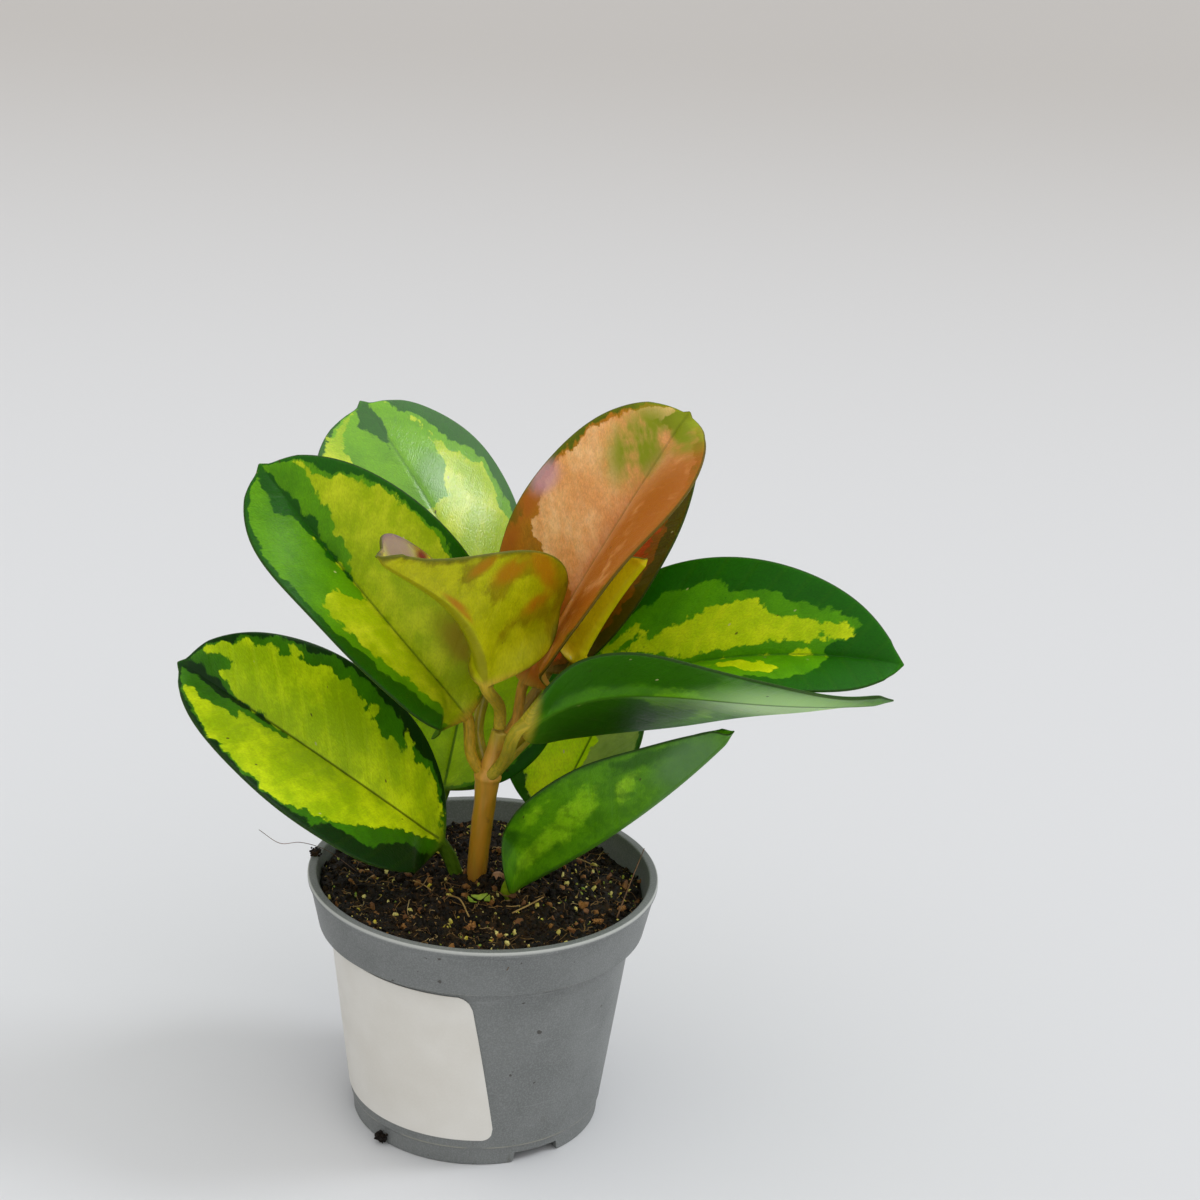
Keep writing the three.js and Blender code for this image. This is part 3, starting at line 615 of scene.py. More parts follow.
def spline(points, count, start=0.0, end=1.0):
    """A smooth curve through points, however uneven their steps, read at evenly spaced places."""
    p = np.asarray(points, float)
    p = np.vstack([2 * p[0] - p[1], p, 2 * p[-1] - p[-2]])
    spans = len(p) - 3
    found = []
    for t in np.linspace(start, end, count):
        place = min(t * spans, spans - 1e-9)
        i = int(place)
        w = place - i
        x0, x1, x2, x3 = p[i:i + 4]
        d0, d1, d2 = np.maximum(np.linalg.norm(np.diff(p[i:i + 4], axis=0), axis=1) ** 0.5, 1e-4)
        t1 = ((x1 - x0) / d0 - (x2 - x0) / (d0 + d1) + (x2 - x1) / d1) * d1
        t2 = ((x2 - x1) / d1 - (x3 - x1) / (d1 + d2) + (x3 - x2) / d2) * d1
        square, cube = w ** 2, w ** 3
        found.append(x1 + t1 * w + (3 * (x2 - x1) - 2 * t1 - t2) * square
                     + (2 * (x1 - x2) + t1 + t2) * cube)
    return np.array(found)


def smoothstep(x, low, high):
    """Zero up to low, one from high on, and a smooth step between."""
    x = np.clip((np.asarray(x, float) - low) / (high - low), 0, 1)
    return x * x * (3 - 2 * x)


def rounding(reach):
    """How high a rounded edge stands at a share of its reach. It never closes to a line."""
    return np.sqrt(np.maximum(1 - reach ** 2, 0.02))


def unit(vectors):
    """Vectors brought to length one."""
    return vectors / np.linalg.norm(vectors, axis=-1, keepdims=True)


# Materials

def moulded_pp(settings):
    """Moulded polypropylene: a satin grey with the tool's fine grain and a film of dirt."""
    material, tree, place = new_material("moulded_pp_grey")
    height = add(tree, "SeparateXYZ", {0: place}).outputs[2]
    flattened = add(tree, "Mapping", {0: place, "Scale": (1, 1, 0.4)})
    drawn_round = add(tree, "Mapping", {0: place, "Scale": (0.12, 0.12, 2.2)})
    cloud, grain, smears, specks, scuffs, breaks = add_each(
        tree, "TexNoise", NOISE, (place, 90.0, 4.0, 0.55), (place, 3800.0, 2.0, 0.6),
        (flattened, 260.0, 6.0, 0.7), (place, 620.0, 2.0, 0.5), (drawn_round, 500.0, 3.0, 0.5),
        (place, 170.0, 4.0, 0.6))
    # Dried soil is smeared over the lowest 12 mm, and very thinly over the rest
    smeared = add(tree, "MapRange", {0: height, 1: 12 * MM, 2: 0.0, 3: 0.06, 4: 0.66})
    # The lip's outer edge is made pale by a painted highlight. The highlight and the dusty places
    # fade over a fifth of a mm
    fade = 0.2
    flat = add(tree, "Mapping", {0: place, "Location": (-AXIS.x, -AXIS.y, 0), "Scale": (1, 1, 0)})
    out = add(tree, "VectorMath", {0: flat}, operation="LENGTH").outputs["Value"]
    lip = POT_HEIGHT - 0.5
    painted_lip_highlight = add(tree, "MapRange", {0: height, 1: (lip - fade) * MM, 2: (lip + fade) * MM, 4: 0.6})
    colour = coated(
        tree, opaque(settings.colour),
        (cloud, 0.35, 0.7, 1.0, "#686B6A"),
        (grain, 0.4, 0.7, 0.34, "#9A9D9C"),
        (smears, 0.56, 0.75, smeared, "#4A4338"),
        (specks, 0.735, 0.76, 0.75, "#2E261C"),
        (scuffs, 0.66, 0.74, 0.22, "#A4A7A6"),
        (out, (RIM_RADIUS - 0.28) * MM, (RIM_RADIUS - 0.08) * MM, painted_lip_highlight, "#D2D4CE"))
    # Dust lies in broken lines at the collar's lower corner and in the crease above the foot
    corner = POT_HEIGHT - COLLAR_DROP
    for low, high, paint in ((corner - 0.2, corner + 0.2, "#ABA48E"),
                             (CREASE_HEIGHT - 0.25, CREASE_HEIGHT + 0.1, "#9C9A8C")):
        broken = add(tree, "MapRange", {0: breaks, 1: 0.4, 2: 0.56, 4: 0.7})
        above = add(tree, "MapRange", {0: height, 1: (low - fade) * MM, 2: low * MM, 4: broken})
        colour = coated(tree, colour, (height, high * MM, (high - fade) * MM, above, paint))
    surfaced(tree, colour, (grain, 0.45, 0.16 * MM), (cloud, 0.3, 0.7, 0.46, 0.58), {"IOR": 1.49})
    return material


def label_paper(settings):
    """Coated label paper: warm off-white with a faint fibre mottle and a slight sheen."""
    material, tree, place = new_material("coated_label_paper")
    fibre, cloud = add_each(tree, "TexNoise", NOISE,
                            (place, 2600.0, 3.0, 0.6), (place, 60.0, 3.0, 0.55))
    colour = coated(tree, opaque(settings.colour), (cloud, 0.3, 0.7, 1.0, "#D9D5CC"),
                    (fibre, 0.3, 0.8, 0.12, "#EFEDE8"))
    surfaced(tree, colour, (fibre, 0.08, 0.1 * MM), (cloud, 0.3, 0.7, 0.42, 0.52), {"IOR": 1.5})
    return material


def damp_peat(name, dark, light):
    """Moist peat: near-black crumbs with browner, drier flecks and a few damp glints."""
    material, tree, place = new_material(name)
    coarse, fine = add_each(tree, "TexNoise", NOISE,
                            (place, 420.0, 5.0, 0.65), (place, 2200.0, 3.0, 0.6))
    colour = coated(
        tree, dark,
        (coarse, 0.46, 0.66, 1.0, light),
        (fine, 0.58, 0.72, 0.7, "#5A4222"),
        (fine, 0.46, 0.36, 0.9, "#060402"))
    height = add(tree, "Math", {0: fine, 1: 0.4, 2: coarse})
    surfaced(tree, colour, (height, 0.8, 0.6 * MM), (fine, 0.3, 0.7, 0.5, 0.95),
             {"Specular IOR Level": 0.25})
    return material


def tinted(name, first, second, scale, roughness=0.7):
    """A rough natural grain whose colour drifts between two tones from piece to piece."""
    material, tree, place = new_material(name)
    drift, fine = add_each(tree, "TexNoise", NOISE,
                           (place, scale, 2.0, 0.55), (place, 4000.0, 2.0, 0.55))
    colour = coated(tree, first, (drift, 0.4, 0.62, 1.0, second))
    surfaced(tree, colour, (fine, 0.4, 0.1 * MM),
             (fine, 0.3, 0.7, roughness - 0.1, roughness + 0.1), {})
    return material


def young_stem(settings):
    """Young stem skin: ochre below, pinker above the node, with fine lengthwise streaks."""
    material, tree, place = new_material("young_stem_skin")
    height = add(tree, "SeparateXYZ", {0: place}).outputs[2]
    lengthwise = add(tree, "Mapping", {0: place, "Scale": (1, 1, 0.12)})
    streak, mottle = add_each(tree, "TexNoise", NOISE, (lengthwise, 900.0, 4.0, 0.6),
                              (place, 500.0, 3.0, 0.55))
    # By height: pinker above the node, yellow where the young leaves part, browner near the soil
    colour = coated(
        tree, opaque(settings.low_colour),
        (height, 56 * MM, 63.5 * MM, 1.0, opaque(settings.top_colour)),
        (height, 66 * MM, 69.5 * MM, 1.0, "#D0B43A"),
        (height, 47 * MM, 41 * MM, 1.0, "#96601C"),
        (streak, 0.35, 0.7, 0.5, "#A88A20"),
        (mottle, 0.6, 0.78, 0.55, "#744A18"))
    surfaced(tree, colour, (streak, 0.35, 0.2 * MM), (mottle, 0.3, 0.7, 0.38, 0.52), {
        "Subsurface Weight": 0.08, "Subsurface Radius": (0.0012, 0.0008, 0.0003),
        "Subsurface Scale": 1.0})
    return material


def waxy_leaf(leaf, settings):
    """Waxy cuticle over a fleshy blade: an even gloss over ragged zones of dark, green and lime.

    The zones' edges step along the side veins, because each patch of cells between two veins
    is either green or pale. The patterns run in mm along and across the blade.
    """
    material, tree, _ = new_material(f"waxy_{leaf['name']}_leaf")
    margin, middle, heart, mottle = leaf["palette"]
    under, under_cover = leaf["under"]
    veins, blade, *fields = (add(tree, "Attribute", attribute_name=name).outputs["Vector"]
                             for name in ("veins", "blade", "marks", "parts", "tints_and_sheens"))
    marks, parts, tints_and_sheens = (add(tree, "SeparateXYZ", {0: field}).outputs for field in fields)
    dark_depth, lime_depth, edge = marks
    rib, stalk, upper = parts
    reddened, sheen_cover, stained = tints_and_sheens
    short = add(tree, "Mapping", {0: veins, "Scale": (1, 0.5, 1)})
    lengthwise = add(tree, "Mapping", {0: veins, "Scale": (0.3, 3, 1)})
    ragged, cells, soft, wander, lobes, clouds, streak = add_each(
        tree, "TexNoise", NOISE, (short, 0.5, 5.0, 0.6), (veins, 3.2, 2.0, 0.6),
        (blade, 0.16, 3.0, 0.55), (blade, 0.5, 3.0, 0.6), (blade, 0.34, 2.0, 0.5),
        (blade, 0.4, 5.0, 0.65), (lengthwise, 0.9, 3.0, 0.6))

    # How far the zones' edges stray, in mm. Each noise is taken from its mean of a half
    stray = settings.raggedness
    shift = add(tree, "Math", {0: ragged, 1: 8.0 * stray, 2: -4.6 * stray - 1.5})
    shift = add(tree, "Math", {0: cells, 1: 1.2 * stray, 2: shift})
    shift = add(tree, "Math", {0: lobes, 1: 3.0, 2: shift})
    farther = add(tree, "Math", {0: wander, 1: 2.4, 2: -1.2})
    farther = add(tree, "Math", {0: shift, 1: 1.0, 2: farther})
    # Seen through the blade's lower face, the zones run into each other
    blur = add(tree, "Math", {0: upper, 1: -0.68, 2: 0.9})
    before = add(tree, "Math", {0: blur, 1: -1.0, 2: 0.0})
    depths = add_each(tree, "Math", (0, 1, 2), (dark_depth, 1.0, shift), (lime_depth, 1.0, farther))
    to_green, to_lime = add_each(tree, "MapRange", (0, 1, 2),
                                 *((depth, before, blur) for depth in depths))
    lime_cells = add(tree, "Math", {0: ragged, 1: 0.5, 2: soft})
    green = coated(tree, middle, (soft, 0.35, 0.7, 0.45, margin))
    lime = coated(tree, heart, (lime_cells, 0.62, 0.98, 1.0, mottle))
    colour = add(tree, "Mix", {0: to_green, 6: margin, 7: green})
    colour = add(tree, "Mix", {0: to_lime, 6: colour, 7: lime})
    # Side veins: faint paler lines that run out to the tip's side, about 5 mm apart
    wave = add(tree, "TexWave", {"Vector": veins, "Scale": 0.062, "Distortion": 3.2, "Detail": 2.0,
                                 "Detail Scale": 0.5}, bands_direction="X").outputs["Fac"]
    vein_cover = add(tree, "Math", {0: to_lime, 1: 0.15, 2: 0.005})
    colour = coated(tree, colour, (wave, 0.82, 1.0, vein_cover, mottle))
    # Freckled shading inside every zone, from the cells under the cuticle
    freckles = add(tree, "Math", {0: soft, 1: 0.6, 2: cells})
    shade = add(tree, "MapRange", {0: freckles, 1: 0.55, 2: 1.05, 3: 0.86, 4: 1.12})
    colour = add(tree, "Mix", {0: 1.0, 6: colour, 7: shade}, blend_type="MULTIPLY")
    # The lower face shows the darker cells in clouds, and some places are reddened, lightened by a
    # painted sheen of reflected light, or stained, such as the green left near a young leaf's tip
    cover = leaf["clouds"]
    below = add(tree, "Math", {0: upper, 1: -cover, 2: cover})
    blotch = add(tree, "Math", {0: soft, 1: 0.65, 2: 0.0})
    blotch = add(tree, "Math", {0: ragged, 1: 0.35, 2: blotch})
    # The painted sheen: pale, grey or pink reflected light laid on as colour
    painted_sheen = add(tree, "Math", {0: sheen_cover, 1: 0.8, 2: 0.0})
    colour = coated(tree, colour, (clouds, 0.44, 0.64, below, margin),
                    (blotch, 0.26, 0.5, reddened, leaf["flush_colour"]))
    colour = add(tree, "Mix", {0: painted_sheen, 6: colour, 7: leaf["sheen_colour"]})
    colour = coated(tree, colour, (blotch, 0.32, 0.54, stained, leaf["stain_colour"]))
    # The midrib: a dark thread on the upper face, a pale one below
    rib_colour = add(tree, "Mix", {0: upper, 6: under, 7: margin})
    colour = coated(tree, colour, (rib, 0.34, 0.12, leaf["thread"], rib_colour))
    below = add(tree, "Math", {0: upper, 1: -under_cover, 2: under_cover})
    colour = add(tree, "Mix", {0: below, 6: colour, 7: under})
    # The margin's hard dark line, and the stalk with its own streaks
    colour = coated(tree, colour, (edge, 0.34, 0.08, 0.8, leaf["edge_colour"]))
    skin = coated(tree, leaf["stalk_colour"], (streak, 0.4, 0.65, 0.35, margin))
    colour = add(tree, "Mix", {0: stalk, 6: colour, 7: skin})
    # Grains of dust and shed scales, a few to the leaf
    cell = add(tree, "TexVoronoi", {"Vector": veins, "Scale": 0.42}).outputs
    pick, tone, _ = add(tree, "SeparateXYZ", {0: cell["Color"]}).outputs
    picked = add(tree, "MapRange", {0: pick, 1: 0.86, 2: 0.87, 4: 0.8})
    grain = coated(tree, "#3A2A14", (tone, 0.4, 0.6, 1.0, "#C9C38A"))
    colour = coated(tree, colour, (cell["Distance"], 0.12, 0.07, picked, grain))

    height = add(tree, "MapRange", {0: wave, 1: 0.82, 2: 1.0, 4: -0.25})
    height = add(tree, "Math", {0: cells, 1: 0.5, 2: height})
    height = add(tree, "Math", {0: soft, 1: 1.4, 2: height})
    wax = add(tree, "Math", {0: cells, 1: 0.4, 2: blotch})
    wax = add(tree, "Bump", {"Height": wax, "Strength": 0.5, "Distance": settings.relief})
    gloss, polish = leaf["gloss"]
    surfaced(tree, colour, (height, 0.65, settings.relief), (cells, 0.25, 0.75, 0.34, 0.46), {
        "IOR": 1.42, "Specular IOR Level": 0.18, "Coat Weight": gloss, "Coat Roughness": polish,
        "Coat Normal": wax, "Subsurface Weight": 0.3, "Subsurface Radius": (0.0022, 0.0028, 0.0003),
        "Subsurface Scale": 1.0})
    return material


# The leaf's form

def half_width(leaf, t, half):
    """The width of the left or right half of the blade along the midrib, in mm."""
    length = math.dist(leaf["tip"], leaf["base"])
    s = np.minimum(t / (1 - leaf["drip"] / length), 1)
    widest = leaf["widest"][half]
    point = OUTLINE_CURVE * (1 - widest) / widest
    body = (s / widest) ** OUTLINE_CURVE * (np.maximum(1 - s, 0) / (1 - widest)) ** point
    flat = leaf["width"] / 2 * leaf["share"][half] * body
    drawn = TIP_HALF_WIDTH + POINT_SLOPE * length * (1 - t)
    stalk = leaf["stalk"]
    most = stalk + (POINT_HALF_WIDTH - stalk) * smoothstep(t, POINT_FROM, POINT_FULL)
    return np.maximum(np.hypot(flat, np.minimum(drawn, most)), TIP_HALF_WIDTH)


def both_widths(leaf, t, half):
    """The width of the half that each place across lies in."""
    return np.stack([half_width(leaf, t, side) for side in (0, 1)], 1)[:, half]


class Midrib:
    """A leaf's middle line and its directions."""

    def __init__(self, leaf):
        self.leaf = leaf
        self.base = np.array(leaf["base"], float)
        chord = np.array(leaf["tip"], float) - self.base
        self.length = float(np.linalg.norm(chord))
        self.along = chord / self.length
        up = np.array(leaf["face"], float)
        self.up = unit(up - self.along * up.dot(self.along))
        self.right = np.cross(self.along, self.up)

    def at(self, t):
        """The line's points at shares of its length."""
        t = np.asarray(t, float)[..., None]
        lean = math.log(0.5) / math.log(1 - self.leaf["peak"])
        u = 1 - (1 - t) ** lean
        arch = 4 * u * (1 - u)
        return (self.base + self.along * self.length * t + self.up * self.leaf["bow"] * arch
                + self.right * self.leaf["sway"] * arch)


def blade_points(leaf, rib_line, t, v, level, seed):
    """The blade's points at shares t along and v across, on its upper face (level 1) or lower (-1).

    The places across run from -1 at the left margin over 0 at the midrib to 1 at the right.
    """
    step = 0.01
    along = unit(rib_line.at(np.minimum(t + step, 1)) - rib_line.at(np.maximum(t - step, 0)))
    lift = unit(rib_line.up - along * (along @ rib_line.up)[:, None])
    turn = np.radians(leaf["twist"] * t)[:, None]
    lift = lift * np.cos(turn) + np.cross(along, lift) * np.sin(turn)
    right = np.cross(along, lift)
    half = (v >= 0).astype(int)
    reach = np.abs(v)
    closed = smoothstep(t, 0, FOLD_FULL) * smoothstep(1 - t, 0, FOLD_CLOSES)
    closed = (closed * (1 - leaf["open"] * t ** 4))[:, None]
    folds = np.radians(leaf["fold"]) * closed
    fold = folds[:, half]
    rim = np.radians(leaf["rim"])[half] * closed
    slope = fold + (rim - fold) * reach
    mean = (fold + slope) / 2
    wide = both_widths(leaf, t, half)
    far = wide * reach
    tt = t[:, None]
    rib = RIB_THICKNESS * (1 - RIB_LOSS * tt) * np.exp(-((far / RIB_REACH) ** 2))
    thick = BLADE_THICKNESS + (MARGIN_THICKNESS - BLADE_THICKNESS) * reach ** 2
    # The margin is rounded off over its own thickness
    past = np.clip((far - (wide - MARGIN_ROUND)) / MARGIN_ROUND, 0, 1)
    flat = thick / 2 * rounding(past)
    if level < 0:
        flat = flat + rib / 2
    else:
        flat = flat - GROOVE_DEPTH * np.exp(-((far / GROOVE_REACH) ** 2)) * (1 - GROOVE_LOSS * tt)
    flat = flat * (1 - TIP_LOSS * smoothstep(tt, THIN_FROM, 1))
    stem = leaf["stalk"] * rounding(v)[None, :]
    blend = smoothstep(tt, 0, SECTION_FULL)
    depth = stem * (1 - blend) + flat * blend
    # Inside a fold the two halves meet on the line that halves its angle
    crease = (folds[:, :1] + folds[:, 1:]) / 2
    inside = level * crease > 0
    mitre = np.where(inside, depth * np.tan(np.minimum(np.abs(crease), FOLD_LIMIT)), 0.0)
    width = mitre + (wide - mitre) * reach
    # Slow waves in the blade, strongest near the margin
    slow, quick = np.sin(tt * 9.0 + seed), np.sin(tt * 17.0 + 2.1 * seed + 2.0 * v)
    wave = WAVE_HEIGHT * (0.6 * slow + 0.4 * quick)
    wave = wave * reach ** 1.5 * smoothstep(tt, 0.05, 0.3) * (1 - smoothstep(tt, 0.85, 1))
    out = np.sign(v) * (width * np.cos(mean) - (level * depth + wave) * np.sin(slope))
    rise = width * np.sin(mean) + (level * depth + wave) * np.cos(slope)
    # The middle point lies where the two halves' faces meet
    middle = v == 0
    lean = (folds[:, :1] - folds[:, 1:]) / 2
    corner = level * np.hypot(depth[:, middle], mitre[:, middle])
    out[:, middle] = corner * np.sin(lean)
    rise[:, middle] = corner * np.cos(lean)
    centre = rib_line.at(t)[:, None, :]
    return centre + right[:, None, :] * out[..., None] + lift[:, None, :] * rise[..., None]


def outside(x, y, outline):
    """How far places lie outside an outline of points, in mm, less than zero within it."""
    ends = np.asarray(outline, float)
    nearest = np.full(x.shape, 1e9)
    within = np.zeros(x.shape, bool)
    for (x0, y0), (x1, y1) in zip(ends, np.roll(ends, -1, 0)):
        run, rise = x1 - x0, y1 - y0
        share = ((x - x0) * run + (y - y0) * rise) / max(run * run + rise * rise, 1e-9)
        share = np.clip(share, 0, 1)
        nearest = np.minimum(nearest, np.hypot(x - x0 - share * run, y - y0 - share * rise))
        if rise:
            crosses = ((y0 > y) != (y1 > y)) & (x < x0 + run * (y - y0) / rise)
            within ^= crosses
    return np.where(within, -nearest, nearest)


def blade_marks(leaf, t, v, length):
    """Depth into the green and the lime zone, distance to the margin, and place, all in mm."""
    wide = both_widths(leaf, t, (v >= 0).astype(int))
    edge = wide * (1 - np.abs(v)[None, :])
    x = (t * length)[:, None] + 0 * wide
    y = wide * v[None, :]
    dark = edge - leaf["rim_dark"]
    lime = dark - leaf["rim_green"]
    for zone, side, outline in leaf["marks"]:
        if side:
            outline = [*outline, (outline[-1][0], 40 * side), (outline[0][0], 40 * side)]
        off = outside(x, y, outline)
        if zone == "dark":
            dark = np.minimum(dark, off)
        elif zone == "green":
            lime = np.minimum(lime, off)
        else:
            dark, lime = np.maximum(dark, -off), np.maximum(lime, -off)
    return dark, np.minimum(lime, dark), edge, x, y


def stalk_rings(leaf, rib_line, both, level):
    """Rings of the stalk, from its root to the blade's base, that carry the blade's directions."""
    route = [*leaf["petiole"], rib_line.at(0.0), rib_line.at(STALK_GUIDE)]
    line = spline(route, STALK_RINGS + 1, 0.0, len(leaf["petiole"]) / (len(route) - 1))[:-1]
    ahead = np.vstack([line, rib_line.at(0.0)])
    lift = rib_line.up
    girth = leaf["stalk"] * level * rounding(both)
    rings = []
    for i in reversed(range(STALK_RINGS)):
        forward = unit(ahead[i + 1] - ahead[i])
        lift = unit(lift - forward * lift.dot(forward))
        right = np.cross(forward, lift)
        rings.append(line[i] + np.outer(both * leaf["stalk"], right) + np.outer(girth, lift))
    return np.array(rings[::-1])


def tints_and_sheens_at(leaf, x, y, on_upper):
    """How far each place of the leaf is tinted or given a painted sheen, for each kind."""
    cover = np.zeros((len(TINT_AND_SHEEN_KINDS), *x.shape))
    for face, kind, place, over, long, broad in leaf["tints_and_sheens"]:
        inside = 1 - smoothstep(np.hypot((x - place) / long, (y - over) / broad), 0.4, 1.25)
        inside = inside * (on_upper if face == "upper" else 1 - on_upper)
        k = TINT_AND_SHEEN_KINDS.index(kind)
        cover[k] = np.maximum(cover[k], inside)
    return cover


def build_leaf(leaf, seed, settings):
    """One leaf with its stalk, as one closed mesh with its marking fields."""
    rib_line = Midrib(leaf)
    across = np.concatenate([-HALF_ACROSS[::-1], [0.0], HALF_ACROSS])
    both = np.concatenate([across, across[::-1]])
    level = np.concatenate([np.ones_like(across), -np.ones_like(across)])
    t = (1 - np.cos(np.linspace(0, math.pi, settings.rings))) / 2
    upper = blade_points(leaf, rib_line, t, across, 1, seed)
    lower = blade_points(leaf, rib_line, t, across[::-1], -1, seed)
    blade = np.concatenate([upper, lower], 1)
    points = np.concatenate([stalk_rings(leaf, rib_line, both, level), blade])
    count, size = points.shape[:2]
    piece = mesh_piece(leaf["name"] + "_leaf", points.reshape(-1, 3), ring_faces(count, size),
                       waxy_leaf(leaf, settings))

    # The marking runs over both faces of the blade, and the stalk lies far from all its edges
    marks = [np.concatenate([field, field[:, ::-1]], 1)
             for field in blade_marks(leaf, t, across, rib_line.length)]
    full = np.ones((STALK_RINGS, size))
    far = 9.0 * full
    back = np.linspace(-30, -1, STALK_RINGS)[:, None] * full
    dark, lime, edge, x, y = (np.concatenate(pair) for pair in zip(
        (far, far, far, back, full * both * leaf["stalk"]), marks))
    fading = (1 - smoothstep(t, 0.0, 0.05))[:, None] * np.ones(size)
    on_stalk = np.concatenate([full, fading])
    on_upper = np.ones((count, 1)) * (level > 0)
    rib = np.where(on_stalk > 0.6, 3.0, np.abs(y))
    mesh = piece.data
    attribute(mesh, "marks", dark, lime, edge)
    attribute(mesh, "parts", rib, on_stalk, on_upper)
    # Each leaf takes its own part of the patterns
    attribute(mesh, "veins", x - VEIN_LEAN * np.abs(y), y, seed * 7.3)
    attribute(mesh, "blade", x, y, seed * 3.1)
    attribute(mesh, "tints_and_sheens", *tints_and_sheens_at(leaf, x, y, on_upper))
    return piece


# The pot, the label, the stem and the soil

def rounded(corners, steps=5):
    """A profile of (radius, height, bend) corners, each rounded over its bend."""
    done = []
    for i, (r, z, bend) in enumerate(corners):
        here = np.array([r, z], float)
        if bend == 0 or i in (0, len(corners) - 1):
            done.append(here)
            continue
        before = np.array(corners[i - 1][:2], float) - here
        after = np.array(corners[i + 1][:2], float) - here
        reach = min(bend, 0.45 * np.linalg.norm(before), 0.45 * np.linalg.norm(after))
        start, end = here + unit(before) * reach, here + unit(after) * reach
        for w in np.linspace(0, 1, steps):
            done.append(start * (1 - w) ** 2 + here * 2 * w * (1 - w) + end * w ** 2)
    return np.array(done)


def revolve(profile, sides):
    """Points and faces of a profile turned round the axis, its ends on the axis."""
    angle = np.linspace(0, 2 * math.pi, sides, endpoint=False)
    body = profile[1:-1]
    points = [(0, 0, profile[0][1])]
    points += [(r * math.cos(a), r * math.sin(a), z) for a in angle for r, z in body]
    points.append((0, 0, profile[-1][1]))
    n = len(body)
    faces = []
    for s in range(sides):
        a, b = 1 + s * n, 1 + ((s + 1) % sides) * n
        faces.append((0, b, a))
        faces += [(a + k, b + k, b + k + 1, a + k + 1) for k in range(n - 1)]
        faces.append((a + n - 1, b + n - 1, len(points) - 1))
    return points, faces


def pot_profile():
    """The pot's section: out under its floor, up its outside, over the lip and down the inside.

    Each corner is a radius, a height and how far it is rounded.
    """
    collar_low = POT_HEIGHT - COLLAR_DROP
    floor_top = FLOOR_HEIGHT + FLOOR_THICKNESS
    return [
        (0, FLOOR_HEIGHT, 0),
        (CREASE_RADIUS - WALL - 1.2, FLOOR_HEIGHT, 0.3),
        (FOOT_RADIUS - WALL - 0.6, 0, 0.15),
        (FOOT_RADIUS - 0.1, 0, 0.35),
        (FOOT_RADIUS + 0.1, CREASE_HEIGHT - 0.5, 0.2),
        (CREASE_RADIUS, CREASE_HEIGHT - 0.15, 0.12),
        (CREASE_RADIUS + 0.03, CREASE_HEIGHT + 0.25, 0.12),
        (BODY_RADIUS, collar_low, 0.35),
        (COLLAR_RADIUS, collar_low, 0.3),
        (RIM_RADIUS - 0.35, POT_HEIGHT - 1.3, 0.3),
        (RIM_RADIUS, POT_HEIGHT - 1.0, 0.2),
        (RIM_RADIUS, POT_HEIGHT, 0.35),
        (RIM_RADIUS - LIP_WALL, POT_HEIGHT, 0.35),
        (COLLAR_RADIUS - WALL, collar_low + WALL, 0.6),
        (BODY_RADIUS - WALL, collar_low + LEDGE_RISE, 0.6),
        (CREASE_RADIUS - WALL, CREASE_HEIGHT, 0.4),
        (CREASE_RADIUS - WALL - 0.4, floor_top, 0.3),
        (0, floor_top, 0),
    ]


def body_radius(z):
    """The wall's outer radius at a height between the crease and the collar."""
    share = (z - CREASE_HEIGHT) / (POT_HEIGHT - COLLAR_DROP - CREASE_HEIGHT)
    return CREASE_RADIUS + (BODY_RADIUS - CREASE_RADIUS) * share


def middle_line(table, count):
    """A smooth line through a table's points, and the radius at each of its places."""
    line = spline([point for point, _ in table], count)
    heights = [point[2] for point, _ in table]
    return line, np.interp(line[:, 2], heights, [radius for _, radius in table])


def cut(piece, cutters):
    """Cuts solids out of a piece, and removes them."""
    for cutter in cutters:
        tool = piece.modifiers.new("cut", "BOOLEAN")
        tool.operation, tool.solver, tool.object = "DIFFERENCE", "EXACT", cutter
    done = shaped_mesh(piece)
    piece.modifiers.clear()
    piece.data = done
    for cutter in cutters:
        bpy.data.objects.remove(cutter)


def notch(name, turn):
    """A cutter for a notch in the foot at an angle, its sides leaning in towards its top."""
    radial = np.array([math.cos(turn), math.sin(turn), 0])
    tangent = np.array([-math.sin(turn), math.cos(turn), 0])
    half, reach = NOTCH_WIDTH / 2, 4
    corners = []
    for z, wide in ((-1.0, half + 0.35), (NOTCH_HEIGHT, half - 0.25)):
        for a, b in ((-reach, -1), (reach, -1), (reach, 1), (-reach, 1)):
            corners.append(radial * (FOOT_RADIUS + a) + tangent * b * wide + np.array([0, 0, z]))
    faces = [(3, 2, 1, 0), (4, 5, 6, 7), (0, 1, 5, 4), (1, 2, 6, 5), (2, 3, 7, 6), (3, 0, 4, 7)]
    return mesh_piece(name, corners, faces, None, smooth=False)


def drain(name, turn):
    """A round cutter for a drain hole at an angle."""
    x, y = DRAIN_CIRCLE * math.cos(turn), DRAIN_CIRCLE * math.sin(turn)
    low, high = -1, FLOOR_HEIGHT + 4
    line = [(x, y, low), (x, y, (low + high) / 2), (x, y, high)]
    return strand(name, line, [DRAIN_RADIUS] * 3, 40, None)


def soil_height(x, y):
    """The height of the soil's slow form at a place."""
    share = math.hypot(x, y) / RIM_RADIUS
    bumps = math.sin(0.31 * x + 1.3) * math.cos(0.27 * y - 0.4) + 0.6 * math.sin(0.5 * y + 0.2 * x)
    # It is heaped against the wall on the front left
    lean = -(0.9 * x + 0.43 * y) / RIM_RADIUS
    heap = SOIL_HEAP * float(smoothstep(share, 0.62, 0.92) * smoothstep(lean, -0.1, 0.85))
    return SOIL_EDGE + SOIL_MOUND * (1 - share ** 2) + SOIL_BUMP * bumps + heap


